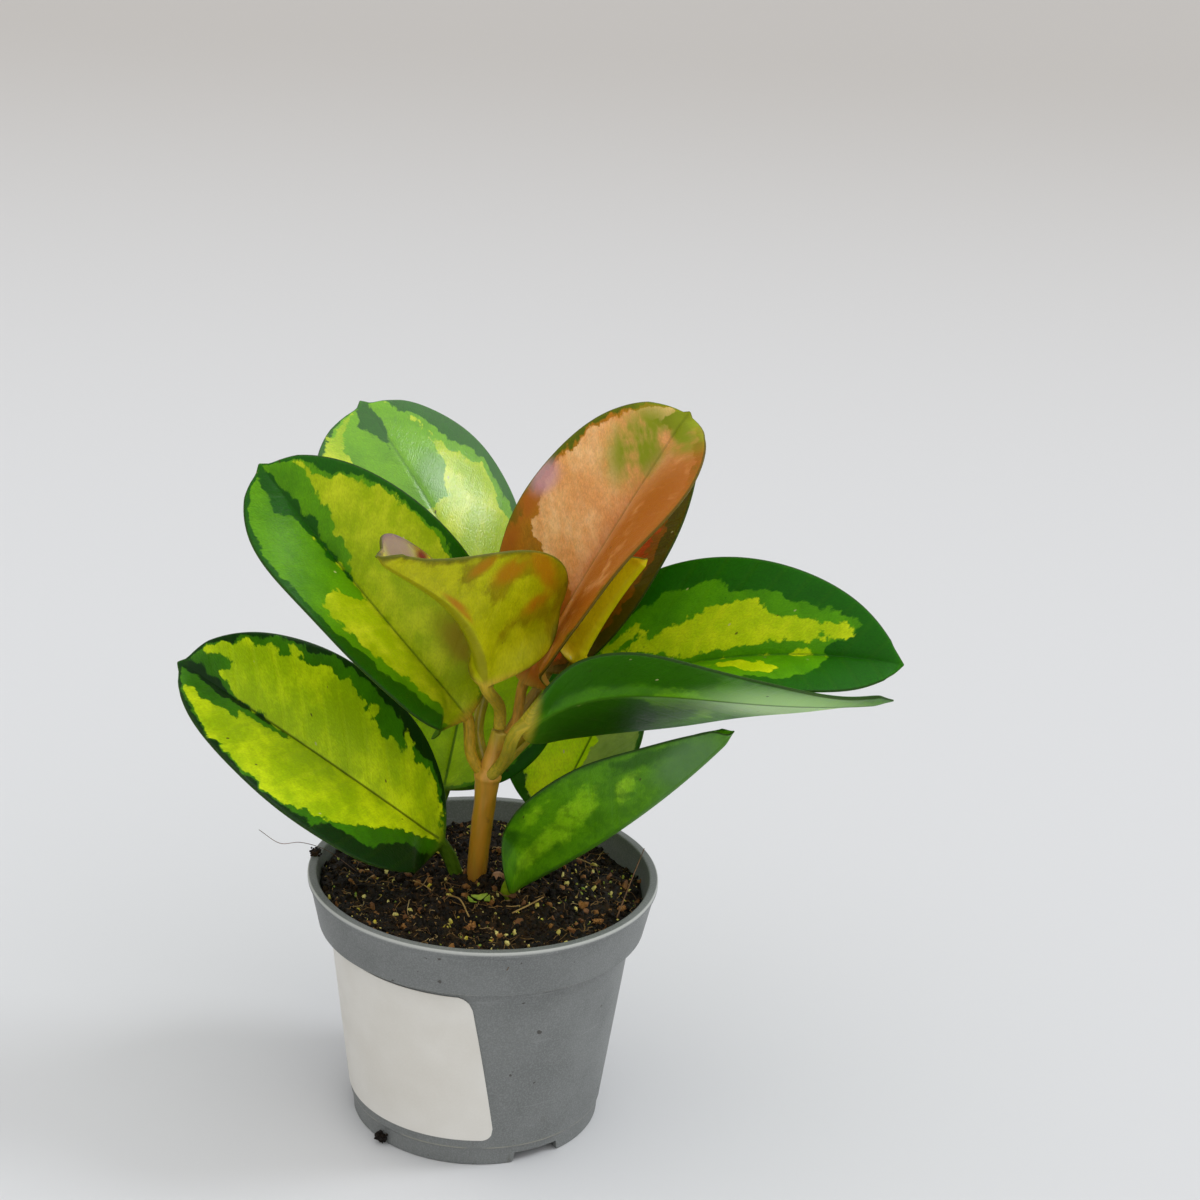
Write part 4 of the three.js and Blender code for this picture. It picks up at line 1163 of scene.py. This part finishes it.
def soil_crumble(x, y, settings):
    """The crumbly relief on the soil's slow form."""
    lumps = noise.fractal(Vector((x * 0.42, y * 0.42, 3.0)), 1.0, 2.0, 3)
    clods = noise.noise(Vector((x * 1.1, y * 1.1, 9.0)))
    grit = noise.noise(Vector((x * 2.6, y * 2.6, 5.0)))
    return (lumps + clods * 0.7 + grit * 0.35) * settings.lump / MM


def circle(radius):
    """Places round a circle of the soil."""
    turns = [2 * math.pi * k / SOIL_SIDES for k in range(SOIL_SIDES)]
    return [(radius * math.cos(turn), radius * math.sin(turn)) for turn in turns]


def soil_top(settings):
    """Points and faces of the soil's top, in rings from the wall to the middle."""
    points, faces = [], []
    for i in range(SOIL_RINGS, 0, -1):
        # The lumps are lower near the wall
        strength = min(1.0, 1.4 * (1 - i / SOIL_RINGS) + 0.25)
        for x, y in circle(SOIL_RADIUS * i / SOIL_RINGS):
            points.append((x, y, soil_height(x, y) + soil_crumble(x, y, settings) * strength))
    middle = len(points)
    points.append((0, 0, soil_height(0, 0) + soil_crumble(0, 0, settings)))
    for i in range(SOIL_RINGS - 1):
        for k in range(SOIL_SIDES):
            a, b = i * SOIL_SIDES + k, i * SOIL_SIDES + (k + 1) % SOIL_SIDES
            faces.append((a, b, b + SOIL_SIDES, a + SOIL_SIDES))
    inner = middle - SOIL_SIDES
    faces += [(inner + k, inner + (k + 1) % SOIL_SIDES, middle) for k in range(SOIL_SIDES)]
    return points, faces


def soil_body(points, faces):
    """The top closed into a body, down the pot's wall and over its floor."""
    low = FLOOR_HEIGHT + FLOOR_THICKNESS + 0.05
    ledge = POT_HEIGHT - COLLAR_DROP
    neck = BODY_RADIUS - WALL - 0.5
    points, faces = list(points), list(faces)
    before = list(range(SOIL_SIDES))
    for radius, z in ((SOIL_RADIUS - 0.2, ledge + 1.6), (neck, ledge + 1.2), (neck, ledge),
                      (FOOT_RADIUS - 1.6, low)):
        now = list(range(len(points), len(points) + SOIL_SIDES))
        points += [(x, y, z) for x, y in circle(radius)]
        faces += [(before[(k + 1) % SOIL_SIDES], before[k], now[k], now[(k + 1) % SOIL_SIDES])
                  for k in range(SOIL_SIDES)]
        before = now
    points.append((0, 0, low))
    faces += [(before[(k + 1) % SOIL_SIDES], before[k], len(points) - 1) for k in range(SOIL_SIDES)]
    return points, faces


def camera_eye():
    """The camera's place round the pot's axis, in mm."""
    lift = math.radians(CAMERA_RISE)
    back, high = CAMERA_DISTANCE * math.cos(lift), CAMERA_DISTANCE * math.sin(lift)
    return np.array([0, -back, CAMERA_AIM_HEIGHT + high])


def camera_turn():
    """The camera's turn, whose columns point to its right, up and back."""
    return (Matrix.Rotation(-math.radians(CAMERA_TURN), 3, "Z")
            @ Matrix.Rotation(math.radians(90 - CAMERA_DIP), 3, "X")
            @ Matrix.Rotation(math.radians(CAMERA_ROLL), 3, "Z"))


def on_soil(pixel, rise):
    """The place on the soil that the photograph shows at a pixel, raised by a rise in mm."""
    right, up, back = np.array(camera_turn()).T
    middle = PICTURE_SIZE / 2
    ray = -back * CAMERA_FOCUS + right * (pixel[0] - middle) + up * (middle - pixel[1])
    eye = camera_eye()
    spot = eye + ray * ((SOIL_EDGE + SOIL_SEEN - eye[2]) / ray[2])
    spot[2] = soil_height(spot[0], spot[1]) + rise
    return spot


def sprout(name, pixel, turn, size, material):
    """A seedling's pair of tiny leaves, raised from the soil to either side."""
    middle = on_soil(pixel, 1.0)
    ahead = np.array([math.cos(turn), math.sin(turn), 0.0])
    side = np.array([-math.sin(turn), math.cos(turn), 0.25])
    thickness = np.array([0, 0, 0.14])
    count = 12
    rings = []
    for s in np.linspace(0, 1, count):
        wide = 0.55 * size * math.sin(math.pi * min(max(s, 0.04), 0.96)) ** 0.7
        centre = middle + ahead * (s - 0.5) * 2.4 * size + (0, 0, 0.9 * size * abs(s - 0.5))
        rings.append([centre + side * wide * math.cos(a) + thickness * math.sin(a)
                      for a in np.linspace(0, 2 * math.pi, count, endpoint=False)])
    return mesh_piece(name, np.concatenate(rings), ring_faces(count, count), material)


def clump(centre, spread, count, seed):
    """Points and faces of a clump of angular crumbs, the largest in its middle."""
    points, faces = [], []
    sides, layers = 8, 5
    for c in range(count):
        angle = c * GOLDEN_ANGLE + seed
        reach = spread * 0.85 * math.sqrt(c / count)
        off = np.array([math.cos(angle), 0.8 * math.sin(angle), 0.6 * math.sin(angle * 1.7)])
        radius = spread * (0.42 - 0.3 * c / count)
        ways = [(math.pi * j / layers, 2 * math.pi * k / sides)
                for j in range(1, layers) for k in range(sides)]
        top = len(points)
        for down, turn in ((0, 0), *ways, (math.pi, 0)):
            out = math.sin(down)
            way = Vector((out * math.cos(turn), out * math.sin(turn), math.cos(down)))
            swell = radius * (1 + 0.9 * noise.noise(way * 1.9 + Vector((c * 3.1, seed, 0))))
            points.append(np.asarray(centre) + off * reach + np.array(way) * swell)
        foot = len(points) - 1
        for k in range(sides):
            a, b = top + 1 + k, top + 1 + (k + 1) % sides
            faces.append((top, a, b))
            for j in range(0, (layers - 2) * sides, sides):
                faces.append((a + j, a + j + sides, b + j + sides, b + j))
            faces.append((foot - sides + k, foot, foot - sides + (k + 1) % sides))
    return points, faces


# Geometry Nodes

def scatter_tree(name, fibre):
    """A tree that strews crumbs, or fibres, over a surface."""
    tree = bpy.data.node_groups.new(name, "GeometryNodeTree")
    for label, kind, value in (
            ("Surface", "Geometry", None), ("Per Square Metre", "Float", 1000.0),
            ("Smallest", "Float", 0.0003), ("Largest", "Float", 0.001),
            ("Raggedness", "Float", 0.0004), ("Seed", "Int", 1), ("Material", "Material", None)):
        socket = tree.interface.new_socket(label, in_out="INPUT", socket_type="NodeSocket" + kind)
        if value is not None:
            socket.default_value = value
    tree.interface.new_socket("Pieces", in_out="OUTPUT", socket_type="NodeSocketGeometry")
    given = add(tree, "NodeGroupInput").outputs
    seed = given["Seed"]
    spread = add(tree, "GeometryNodeDistributePointsOnFaces",
                 {"Mesh": given["Surface"], "Density": given["Per Square Metre"], "Seed": seed})
    # Small pieces are far more common than large ones
    draw = add(tree, "FunctionNodeRandomValue", {2: 0.0, 3: 1.0, "Seed": seed}, data_type="FLOAT")
    share = add(tree, "Math", {0: draw, 1: 2.2}, operation="POWER")
    size = add(tree, "MapRange", {0: share, 3: given["Smallest"], 4: given["Largest"]},
               interpolation_type="LINEAR")
    if fibre:
        line = add(tree, "GeometryNodeCurvePrimitiveLine",
                   {"Start": (-0.5, 0, 0), "End": (0.5, 0, 0)})
        one = add(tree, "GeometryNodeResampleCurve", {0: line, "Count": 9})
        tilt_low, tilt_high = (-0.25, -0.25, 0.0), (0.25, 0.25, WHOLE_TURN)
    else:
        one = add(tree, "GeometryNodeMeshIcoSphere", {"Radius": 1.0, "Subdivisions": 1})
        tilt_low, tilt_high = (0, 0, 0), (WHOLE_TURN,) * 3
    tilt, stretch = (
        add(tree, "FunctionNodeRandomValue", {0: low, 1: high, "Seed": seed},
            data_type="FLOAT_VECTOR")
        for low, high in ((tilt_low, tilt_high), ((0.9, 0.5, 0.35), (1.6, 1.0, 0.9))))
    shape = add(tree, "VectorMath", {0: stretch, "Scale": size}, operation="SCALE")
    strewn_ones = add(tree, "GeometryNodeInstanceOnPoints",
                      {"Points": spread, "Instance": one, "Rotation": tilt, "Scale": shape})
    real = add(tree, "GeometryNodeRealizeInstances", {0: strewn_ones})
    spot = add(tree, "GeometryNodeInputPosition")
    scale = 700.0 if fibre else 900.0
    cloud = add(tree, "TexNoise", {"Vector": spot, "Scale": scale, "Detail": 2.0}).outputs["Color"]
    centred = add(tree, "VectorMath", {0: cloud, 1: (0.5, 0.5, 0.5)}, operation="SUBTRACT")
    push = add(tree, "VectorMath", {0: centred, "Scale": given["Raggedness"]}, operation="SCALE")
    bent = add(tree, "GeometryNodeSetPosition", {"Geometry": real, "Offset": push})
    if fibre:
        round_edge = add(tree, "GeometryNodeCurvePrimitiveCircle",
                         {"Resolution": 4, "Radius": FIBRE_RADIUS})
        bent = add(tree, "GeometryNodeCurveToMesh",
                   {"Curve": bent, "Profile Curve": round_edge, "Fill Caps": True})
    bent = add(tree, "GeometryNodeSetShadeSmooth", {0: bent, "Shade Smooth": fibre})
    bent = add(tree, "GeometryNodeRealizeInstances", {0: bent})
    finished = add(tree, "GeometryNodeSetMaterial",
                   {"Geometry": bent, "Material": given["Material"]})
    add(tree, "NodeGroupOutput", {0: finished})
    return tree


def strewn(name, surface, tree, values):
    """A plain mesh piece of what a tree strews over a surface."""
    holder = new_object(name, surface.data.copy())
    modifier = holder.modifiers.new("strew", "NODES")
    modifier.node_group = tree
    for item in tree.interface.items_tree:
        if item.in_out == "INPUT" and item.name in values:
            modifier[item.identifier] = values[item.name]
    mesh = shaped_mesh(holder)
    bpy.data.objects.remove(holder)
    mesh.name = name
    return new_object(name, mesh)


# The stage

def set_camera(scene):
    """The camera as it stood for the photograph."""
    lens = bpy.data.cameras.new("camera")
    lens.lens, lens.sensor_width = CAMERA_LENS, CAMERA_SENSOR
    lens.clip_start, lens.clip_end = 0.01, 50.0
    camera = new_object("camera", lens)
    eye = Vector(placed(camera_eye()))
    camera.matrix_world = Matrix.Translation(eye) @ camera_turn().to_4x4()
    scene.camera = camera


def set_world(scene, settings):
    """A pale room all round, brighter above than at the sides."""
    world = bpy.data.worlds.new("soft_room")
    scene.world = world
    world.use_nodes = True
    tree = world.node_tree
    tree.nodes.clear()
    way = add(tree, "TexCoord").outputs["Generated"]
    rise = add(tree, "SeparateXYZ", {0: way}).outputs[2]
    sky = coated(tree, "#C8CACD", (rise, -0.2, 0.9, 1.0, "#FFFFFF"))
    shine = add(tree, "Background", {"Color": sky, "Strength": settings.sky})
    add(tree, "OutputWorld", {0: shine})


def set_lights(settings):
    """A window to the right in a pale room: soft light from the right, the front and above."""
    # Name, the way that the light comes from, its width in degrees, its strength and its colour
    for name, way, wide, power, colour in (
            ("right_window", (0.75, 0.06, 0.66), 16.0, settings.window, "#F6FAFF"),
            ("right_room", (0.80, -0.25, 0.50), 120.0, settings.side, "#FAFCFF"),
            ("front_room", (-0.25, -0.75, 0.60), 140.0, settings.room, "#FFFDF8"),
            ("ceiling", (0.05, 0.25, 0.97), 120.0, settings.ceiling, "#FFFFFF")):
        data = bpy.data.lights.new(name, "SUN")
        data.angle = math.radians(wide)
        data.energy, data.color = power, linear(colour)
        light = new_object(name, data)
        out = Vector(way).normalized()
        light.location = Vector((AXIS.x, AXIS.y, 0.07)) + out
        light.rotation_mode = "QUATERNION"
        light.rotation_quaternion = out.to_track_quat("Z", "Y")


def floor_piece(settings):
    """A wide pale floor that turns warmer far behind."""
    material, tree, place = new_material("pale_floor")
    far = add(tree, "SeparateXYZ", {0: place}).outputs[1]
    colour = coated(tree, opaque(settings.floor_colour),
                    (far, 0.05, 1.4, 1.0, opaque(settings.far_colour)))
    shader = add(tree, "BsdfPrincipled", {"Base Color": colour, "Roughness": 0.7})
    add(tree, "OutputMaterial", {0: shader})
    wide = 8000.0
    corners = [(-wide, -wide, 0), (wide, -wide, 0), (wide, wide, 0), (-wide, wide, 0)]
    return mesh_piece("floor", corners, [(0, 1, 2, 3)], material, smooth=False)


# Settings

def colour_property(name, description, code):
    """A colour setting, its default given as hex."""
    return FloatVectorProperty(name=name, description=description, subtype="COLOR", size=3,
                               min=0, max=1, default=linear(code))


class PotSettings(bpy.types.PropertyGroup):
    colour: colour_property("Pot Colour", "Grey of the moulded plastic", "#717473")
    sides: IntProperty(name="Sides", description="Steps round the pot",
                       default=192, min=48, max=512)


class LabelSettings(bpy.types.PropertyGroup):
    colour: colour_property("Paper Colour", "Warm white of the blank label", "#E3E0D9")
    thickness: FloatProperty(name="Thickness", description="How far the paper stands proud",
                             default=0.00012, unit="LENGTH")


class SoilSettings(bpy.types.PropertyGroup):
    lump: FloatProperty(name="Lump Height", description="Height of the soil's lumps",
                        default=0.00095, unit="LENGTH")
    crumbs: FloatProperty(name="Crumbs", description="Peat crumbs to the square metre",
                          default=1100000.0)
    largest: FloatProperty(name="Largest Crumb", description="Radius of the largest crumb",
                           default=0.00085, unit="LENGTH")
    seed: IntProperty(name="Seed", description="Draw of the strewn crumbs and fibres", default=4)


class StemSettings(bpy.types.PropertyGroup):
    low_colour: colour_property("Lower Stem", "Ochre of the older stem", "#CC8E22")
    top_colour: colour_property("Upper Stem", "Pinker tone above the node", "#DCA040")


class LeafSettings(bpy.types.PropertyGroup):
    rings: IntProperty(name="Rings", description="Steps from a blade's base to its tip",
                       default=92, min=16, max=200)
    raggedness: FloatProperty(name="Raggedness", description="How far the zones' edges wander",
                              default=0.3)
    relief: FloatProperty(name="Relief", description="Depth of the blade's fine relief",
                          default=0.00022, unit="LENGTH")


class StageSettings(bpy.types.PropertyGroup):
    floor_colour: colour_property("Floor", "Pale floor", "#DBDCDE")
    far_colour: colour_property("Far Floor", "Warmer tone far behind", "#BDB9B5")
    window: FloatProperty(name="Window", description="Strength of the window's light",
                          default=0.75)
    side: FloatProperty(name="Side", description="Strength of the light from the right",
                        default=0.58)
    room: FloatProperty(name="Room", description="Strength of the light on the front", default=1.0)
    ceiling: FloatProperty(name="Ceiling", description="Strength of the light from above",
                           default=0.47)
    sky: FloatProperty(name="Sky", description="Strength of the light from all round", default=0.49)


# Operators

class PLANT_OT_pot(bpy.types.Operator):
    """Build the moulded pot"""
    bl_idname = "plant.pot"
    bl_label = "Pot"

    def execute(self, context):
        settings = context.scene.plant_pot
        points, faces = revolve(rounded(pot_profile()), settings.sides)
        piece = mesh_piece("moulded_pot", points, faces, moulded_pp(settings))
        notches = [notch(f"notch_{i}", math.radians(NOTCH_FIRST + 360 * i / NOTCH_COUNT))
                   for i in range(NOTCH_COUNT)]
        drains = [drain(f"drain_{i}", 2 * math.pi * i / DRAIN_COUNT) for i in range(DRAIN_COUNT)]
        cut(piece, notches + drains)
        piece.data.shade_smooth()
        piece.data.set_sharp_from_angle(angle=math.radians(38))
        finish_piece(piece, "pot", "pot")
        return {"FINISHED"}


class PLANT_OT_label(bpy.types.Operator):
    """Lay the blank paper label on the pot"""
    bl_idname = "plant.label"
    bl_label = "Label"

    def execute(self, context):
        settings = context.scene.plant_label
        proud = settings.thickness / MM
        columns, rows = 110, 40
        tall = LABEL_TOP - LABEL_LOW
        lean = LABEL_RIGHT_TOP - LABEL_RIGHT_LOW
        length = abs(math.radians(LABEL_RIGHT_LOW - LABEL_LEFT)) * LABEL_WALL
        rings = []
        for i in range(columns + 1):
            u = i / columns
            # Near the ends, the paper's edges draw in round its corners
            off = min(min(u, 1 - u) * length, LABEL_CORNER)
            inset = LABEL_CORNER - math.sqrt(LABEL_CORNER ** 2 - (LABEL_CORNER - off) ** 2)
            inner, outer = [], []
            for j in range(rows + 1):
                z = LABEL_LOW + inset + (tall - 2 * inset) * j / rows
                right = LABEL_RIGHT_LOW + lean * (z - LABEL_LOW) / tall
                angle = math.radians(LABEL_LEFT + (right - LABEL_LEFT) * u)
                for bunch, lift in ((inner, LABEL_LIFT), (outer, LABEL_LIFT + proud)):
                    r = body_radius(z) + lift
                    bunch.append((r * math.cos(angle), r * math.sin(angle), z))
            rings.append(inner + outer[::-1])
        size = 2 * (rows + 1)
        piece = mesh_piece("paper_label", np.concatenate(rings), ring_faces(columns + 1, size),
                           label_paper(settings))
        piece.data.set_sharp_from_angle(angle=math.radians(40))
        finish_piece(piece, "label", "label")
        return {"FINISHED"}


class PLANT_OT_soil(bpy.types.Operator):
    """Fill the pot with peat, and strew its crumbs, granules and fibres"""
    bl_idname = "plant.soil"
    bl_label = "Soil"

    def execute(self, context):
        settings = context.scene.plant_soil
        points, faces = soil_top(settings)
        surface = mesh_piece("soil_top", points, faces, None)
        peat = damp_peat("damp_peat", "#100A02", "#30200A")
        finish_piece(mesh_piece("peat_soil", *soil_body(points, faces), peat), "soil", "soil")

        crumb_tree = scatter_tree("Strewn Crumbs", False)
        fibre_tree = scatter_tree("Strewn Fibres", True)
        # Name, tree, material, number to the square metre, smallest, largest and raggedness
        strews = (
            ("peat_crumbs", crumb_tree, damp_peat("crumb_peat", "#100A02", "#342208"),
             settings.crumbs, 0.00018, settings.largest, 0.0007),
            ("brown_bark_bits", crumb_tree, tinted("bark_bits", "#6A4218", "#8E6024", 300.0),
             90000.0, 0.0002, 0.0010, 0.0009),
            ("pale_granules", crumb_tree, tinted("pale_granules", "#E6D880", "#CCBA2C", 260.0, 0.6),
             85000.0, 0.00016, 0.0007, 0.0003),
            ("green_algae_grains", crumb_tree, tinted("algae_grains", "#7E9A2C", "#A4A43A", 260.0),
             60000.0, 0.00012, 0.0005, 0.0003),
            ("peat_fibres", fibre_tree, tinted("peat_fibres", "#5A3E18", "#96743A", 240.0),
             150000.0, 0.0014, 0.0060, 0.0032),
            ("pale_root_fibres", fibre_tree, tinted("root_fibres", "#A88A50", "#C8AC74", 240.0),
             26000.0, 0.0012, 0.0045, 0.0026),
        )
        for i, (name, tree, material, density, small, large, ragged) in enumerate(strews):
            piece = strewn(name, surface, tree, {
                "Per Square Metre": density, "Smallest": small, "Largest": large,
                "Raggedness": ragged, "Seed": settings.seed + i, "Material": material})
            finish_piece(piece, "soil")
        bpy.data.objects.remove(surface)
        return {"FINISHED"}


class PLANT_OT_litter(bpy.types.Operator):
    """Lay the single straws, sprouts and crumbs that lie on the soil and the rim"""
    bl_idname = "plant.litter"
    bl_label = "Litter"

    def execute(self, context):
        straw = tinted("dry_straw", "#B09050", "#8A6A34", 300.0)
        for name, pixels, radius, high in STRAWS:
            line = spline([on_soil(p, high) for p in pixels], 24)
            finish_piece(strand(name, line, np.full(24, radius), 8, straw, 0.3), "soil")
        # A dry stalk leans on the rim at the right
        line = spline(on_soil(STALK_FOOT, 0.2) + np.array(STALK_STEPS), 30)
        dry = tinted("dry_stalk", "#5A3E22", "#7A5632", 200.0)
        finish_piece(strand("dry_stalk", line, np.linspace(*STALK_RADII, 30), 8, dry, 0.2), "soil")
        # A root thread reaches out over the left rim
        line = spline(np.array(THREAD_EDGE) + THREAD_STEPS, 50)
        root = tinted("root_thread", "#6A5040", "#8A6A5A", 200.0)
        finish_piece(strand("root_thread", line, np.full(50, THREAD_RADIUS), 6, root), "soil")
        # Seedlings, each with a pair of tiny leaves
        green = tinted("seedling_green", "#7E9A22", "#A2B83A", 500.0, 0.45)
        for i, seedling in enumerate(SEEDLINGS):
            finish_piece(sprout(f"seedling_{i + 1}", *seedling, green), "soil")
        # Clumps: peat left on the rim and on the foot, and bark chips on the soil
        peat = damp_peat("clump_peat", "#140C04", "#3C2A14")
        bark = tinted("bark_chip", "#7A4E1E", "#A8763A", 400.0)
        clumps = [("crumb_on_rim", RIM_CRUMB, 1.15, 24, peat),
                  ("crumb_on_foot", FOOT_CRUMB, 1.35, 26, peat)]
        for i, (pixel, spread) in enumerate(BARK_CHIPS):
            clumps.append((f"bark_chip_{i + 1}", on_soil(pixel, 0.4), spread, 10, bark))
        for seed, (name, centre, spread, count, material) in enumerate(clumps):
            piece = mesh_piece(name, *clump(centre, spread, count, seed), material, smooth=False)
            finish_piece(piece, "soil")
        return {"FINISHED"}


class PLANT_OT_stem(bpy.types.Operator):
    """Build the standing stem, its node and the cut stub"""
    bl_idname = "plant.stem"
    bl_label = "Stem"

    def execute(self, context):
        settings = context.scene.plant_stem
        line, radii = middle_line(STEM_LINE, 110)
        for height, swell, reach in NODE_RINGS:
            radii = radii + swell * np.exp(-((line[:, 2] - height) / reach) ** 2)
        finish_piece(strand("ochre_stem", line, radii, 40, young_stem(settings), 0.07, 2.0),
                     "stem", "stem")
        line, radii = middle_line(STUB_LINE, 40)
        radii = radii * rounding(np.clip((line[:, 2] - STUB_SHOULDER) / STUB_ROUND, 0, 1))
        healed = tinted("healed_cut", "#B4825A", "#7E5A34", 700.0, 0.5)
        finish_piece(strand("cut_stub", line, radii, 32, healed, 0.12, 5.0), "stub", "stub")
        return {"FINISHED"}


class PLANT_OT_leaves(bpy.types.Operator):
    """Grow the twelve leaves with their stalks"""
    bl_idname = "plant.leaves"
    bl_label = "Leaves"

    def execute(self, context):
        settings = context.scene.plant_leaves
        for i, own in enumerate(LEAVES):
            node = "leaf_" + own["name"]
            finish_piece(build_leaf({**MOST_LEAVES, **own}, i + 1.0, settings), node, node)
        return {"FINISHED"}


class PLANT_OT_stage(bpy.types.Operator):
    """Set the camera, the lights and the floor"""
    bl_idname = "plant.stage"
    bl_label = "Stage"

    def execute(self, context):
        settings = context.scene.plant_stage
        context.scene.view_settings.view_transform = "Standard"
        set_camera(context.scene)
        set_world(context.scene, settings)
        set_lights(settings)
        floor = floor_piece(settings)
        return {"FINISHED"}


class PLANT_PT_panel(bpy.types.Panel):
    """Lists the plant's steps"""
    bl_idname = "PLANT_PT_panel"
    bl_label = "Wax Plant"
    bl_space_type = "VIEW_3D"
    bl_region_type = "UI"
    bl_category = "Wax Plant"

    def draw(self, context):
        for group, operator in (("plant_stage", "plant.stage"), ("plant_pot", "plant.pot"),
                                ("plant_label", "plant.label"), ("plant_soil", "plant.soil"),
                                (None, "plant.litter"), ("plant_stem", "plant.stem"),
                                ("plant_leaves", "plant.leaves")):
            box = self.layout.box()
            box.operator(operator)
            if group:
                settings = getattr(context.scene, group)
                for name in settings.__annotations__:
                    box.prop(settings, name)


GROUPS = {
    "plant_pot": PotSettings,
    "plant_label": LabelSettings,
    "plant_soil": SoilSettings,
    "plant_stem": StemSettings,
    "plant_leaves": LeafSettings,
    "plant_stage": StageSettings,
}
OPERATORS = (PLANT_OT_stage, PLANT_OT_pot, PLANT_OT_label, PLANT_OT_soil, PLANT_OT_litter,
             PLANT_OT_stem, PLANT_OT_leaves)


def register():
    """Registers the settings, the operators and the panel."""
    for group in (*GROUPS.values(), *OPERATORS, PLANT_PT_panel):
        bpy.utils.register_class(group)
    for name, group in GROUPS.items():
        setattr(bpy.types.Scene, name, PointerProperty(type=group))


def unregister():
    """Takes out what register put in."""
    for name in GROUPS:
        delattr(bpy.types.Scene, name)
    for group in reversed((*GROUPS.values(), *OPERATORS, PLANT_PT_panel)):
        bpy.utils.unregister_class(group)


def main():
    """Builds everything in order."""
    register()
    bpy.ops.plant.stage()
    bpy.ops.plant.pot()
    bpy.ops.plant.label()
    bpy.ops.plant.soil()
    bpy.ops.plant.litter()
    bpy.ops.plant.stem()
    bpy.ops.plant.leaves()


if __name__ == "__main__":
    main()
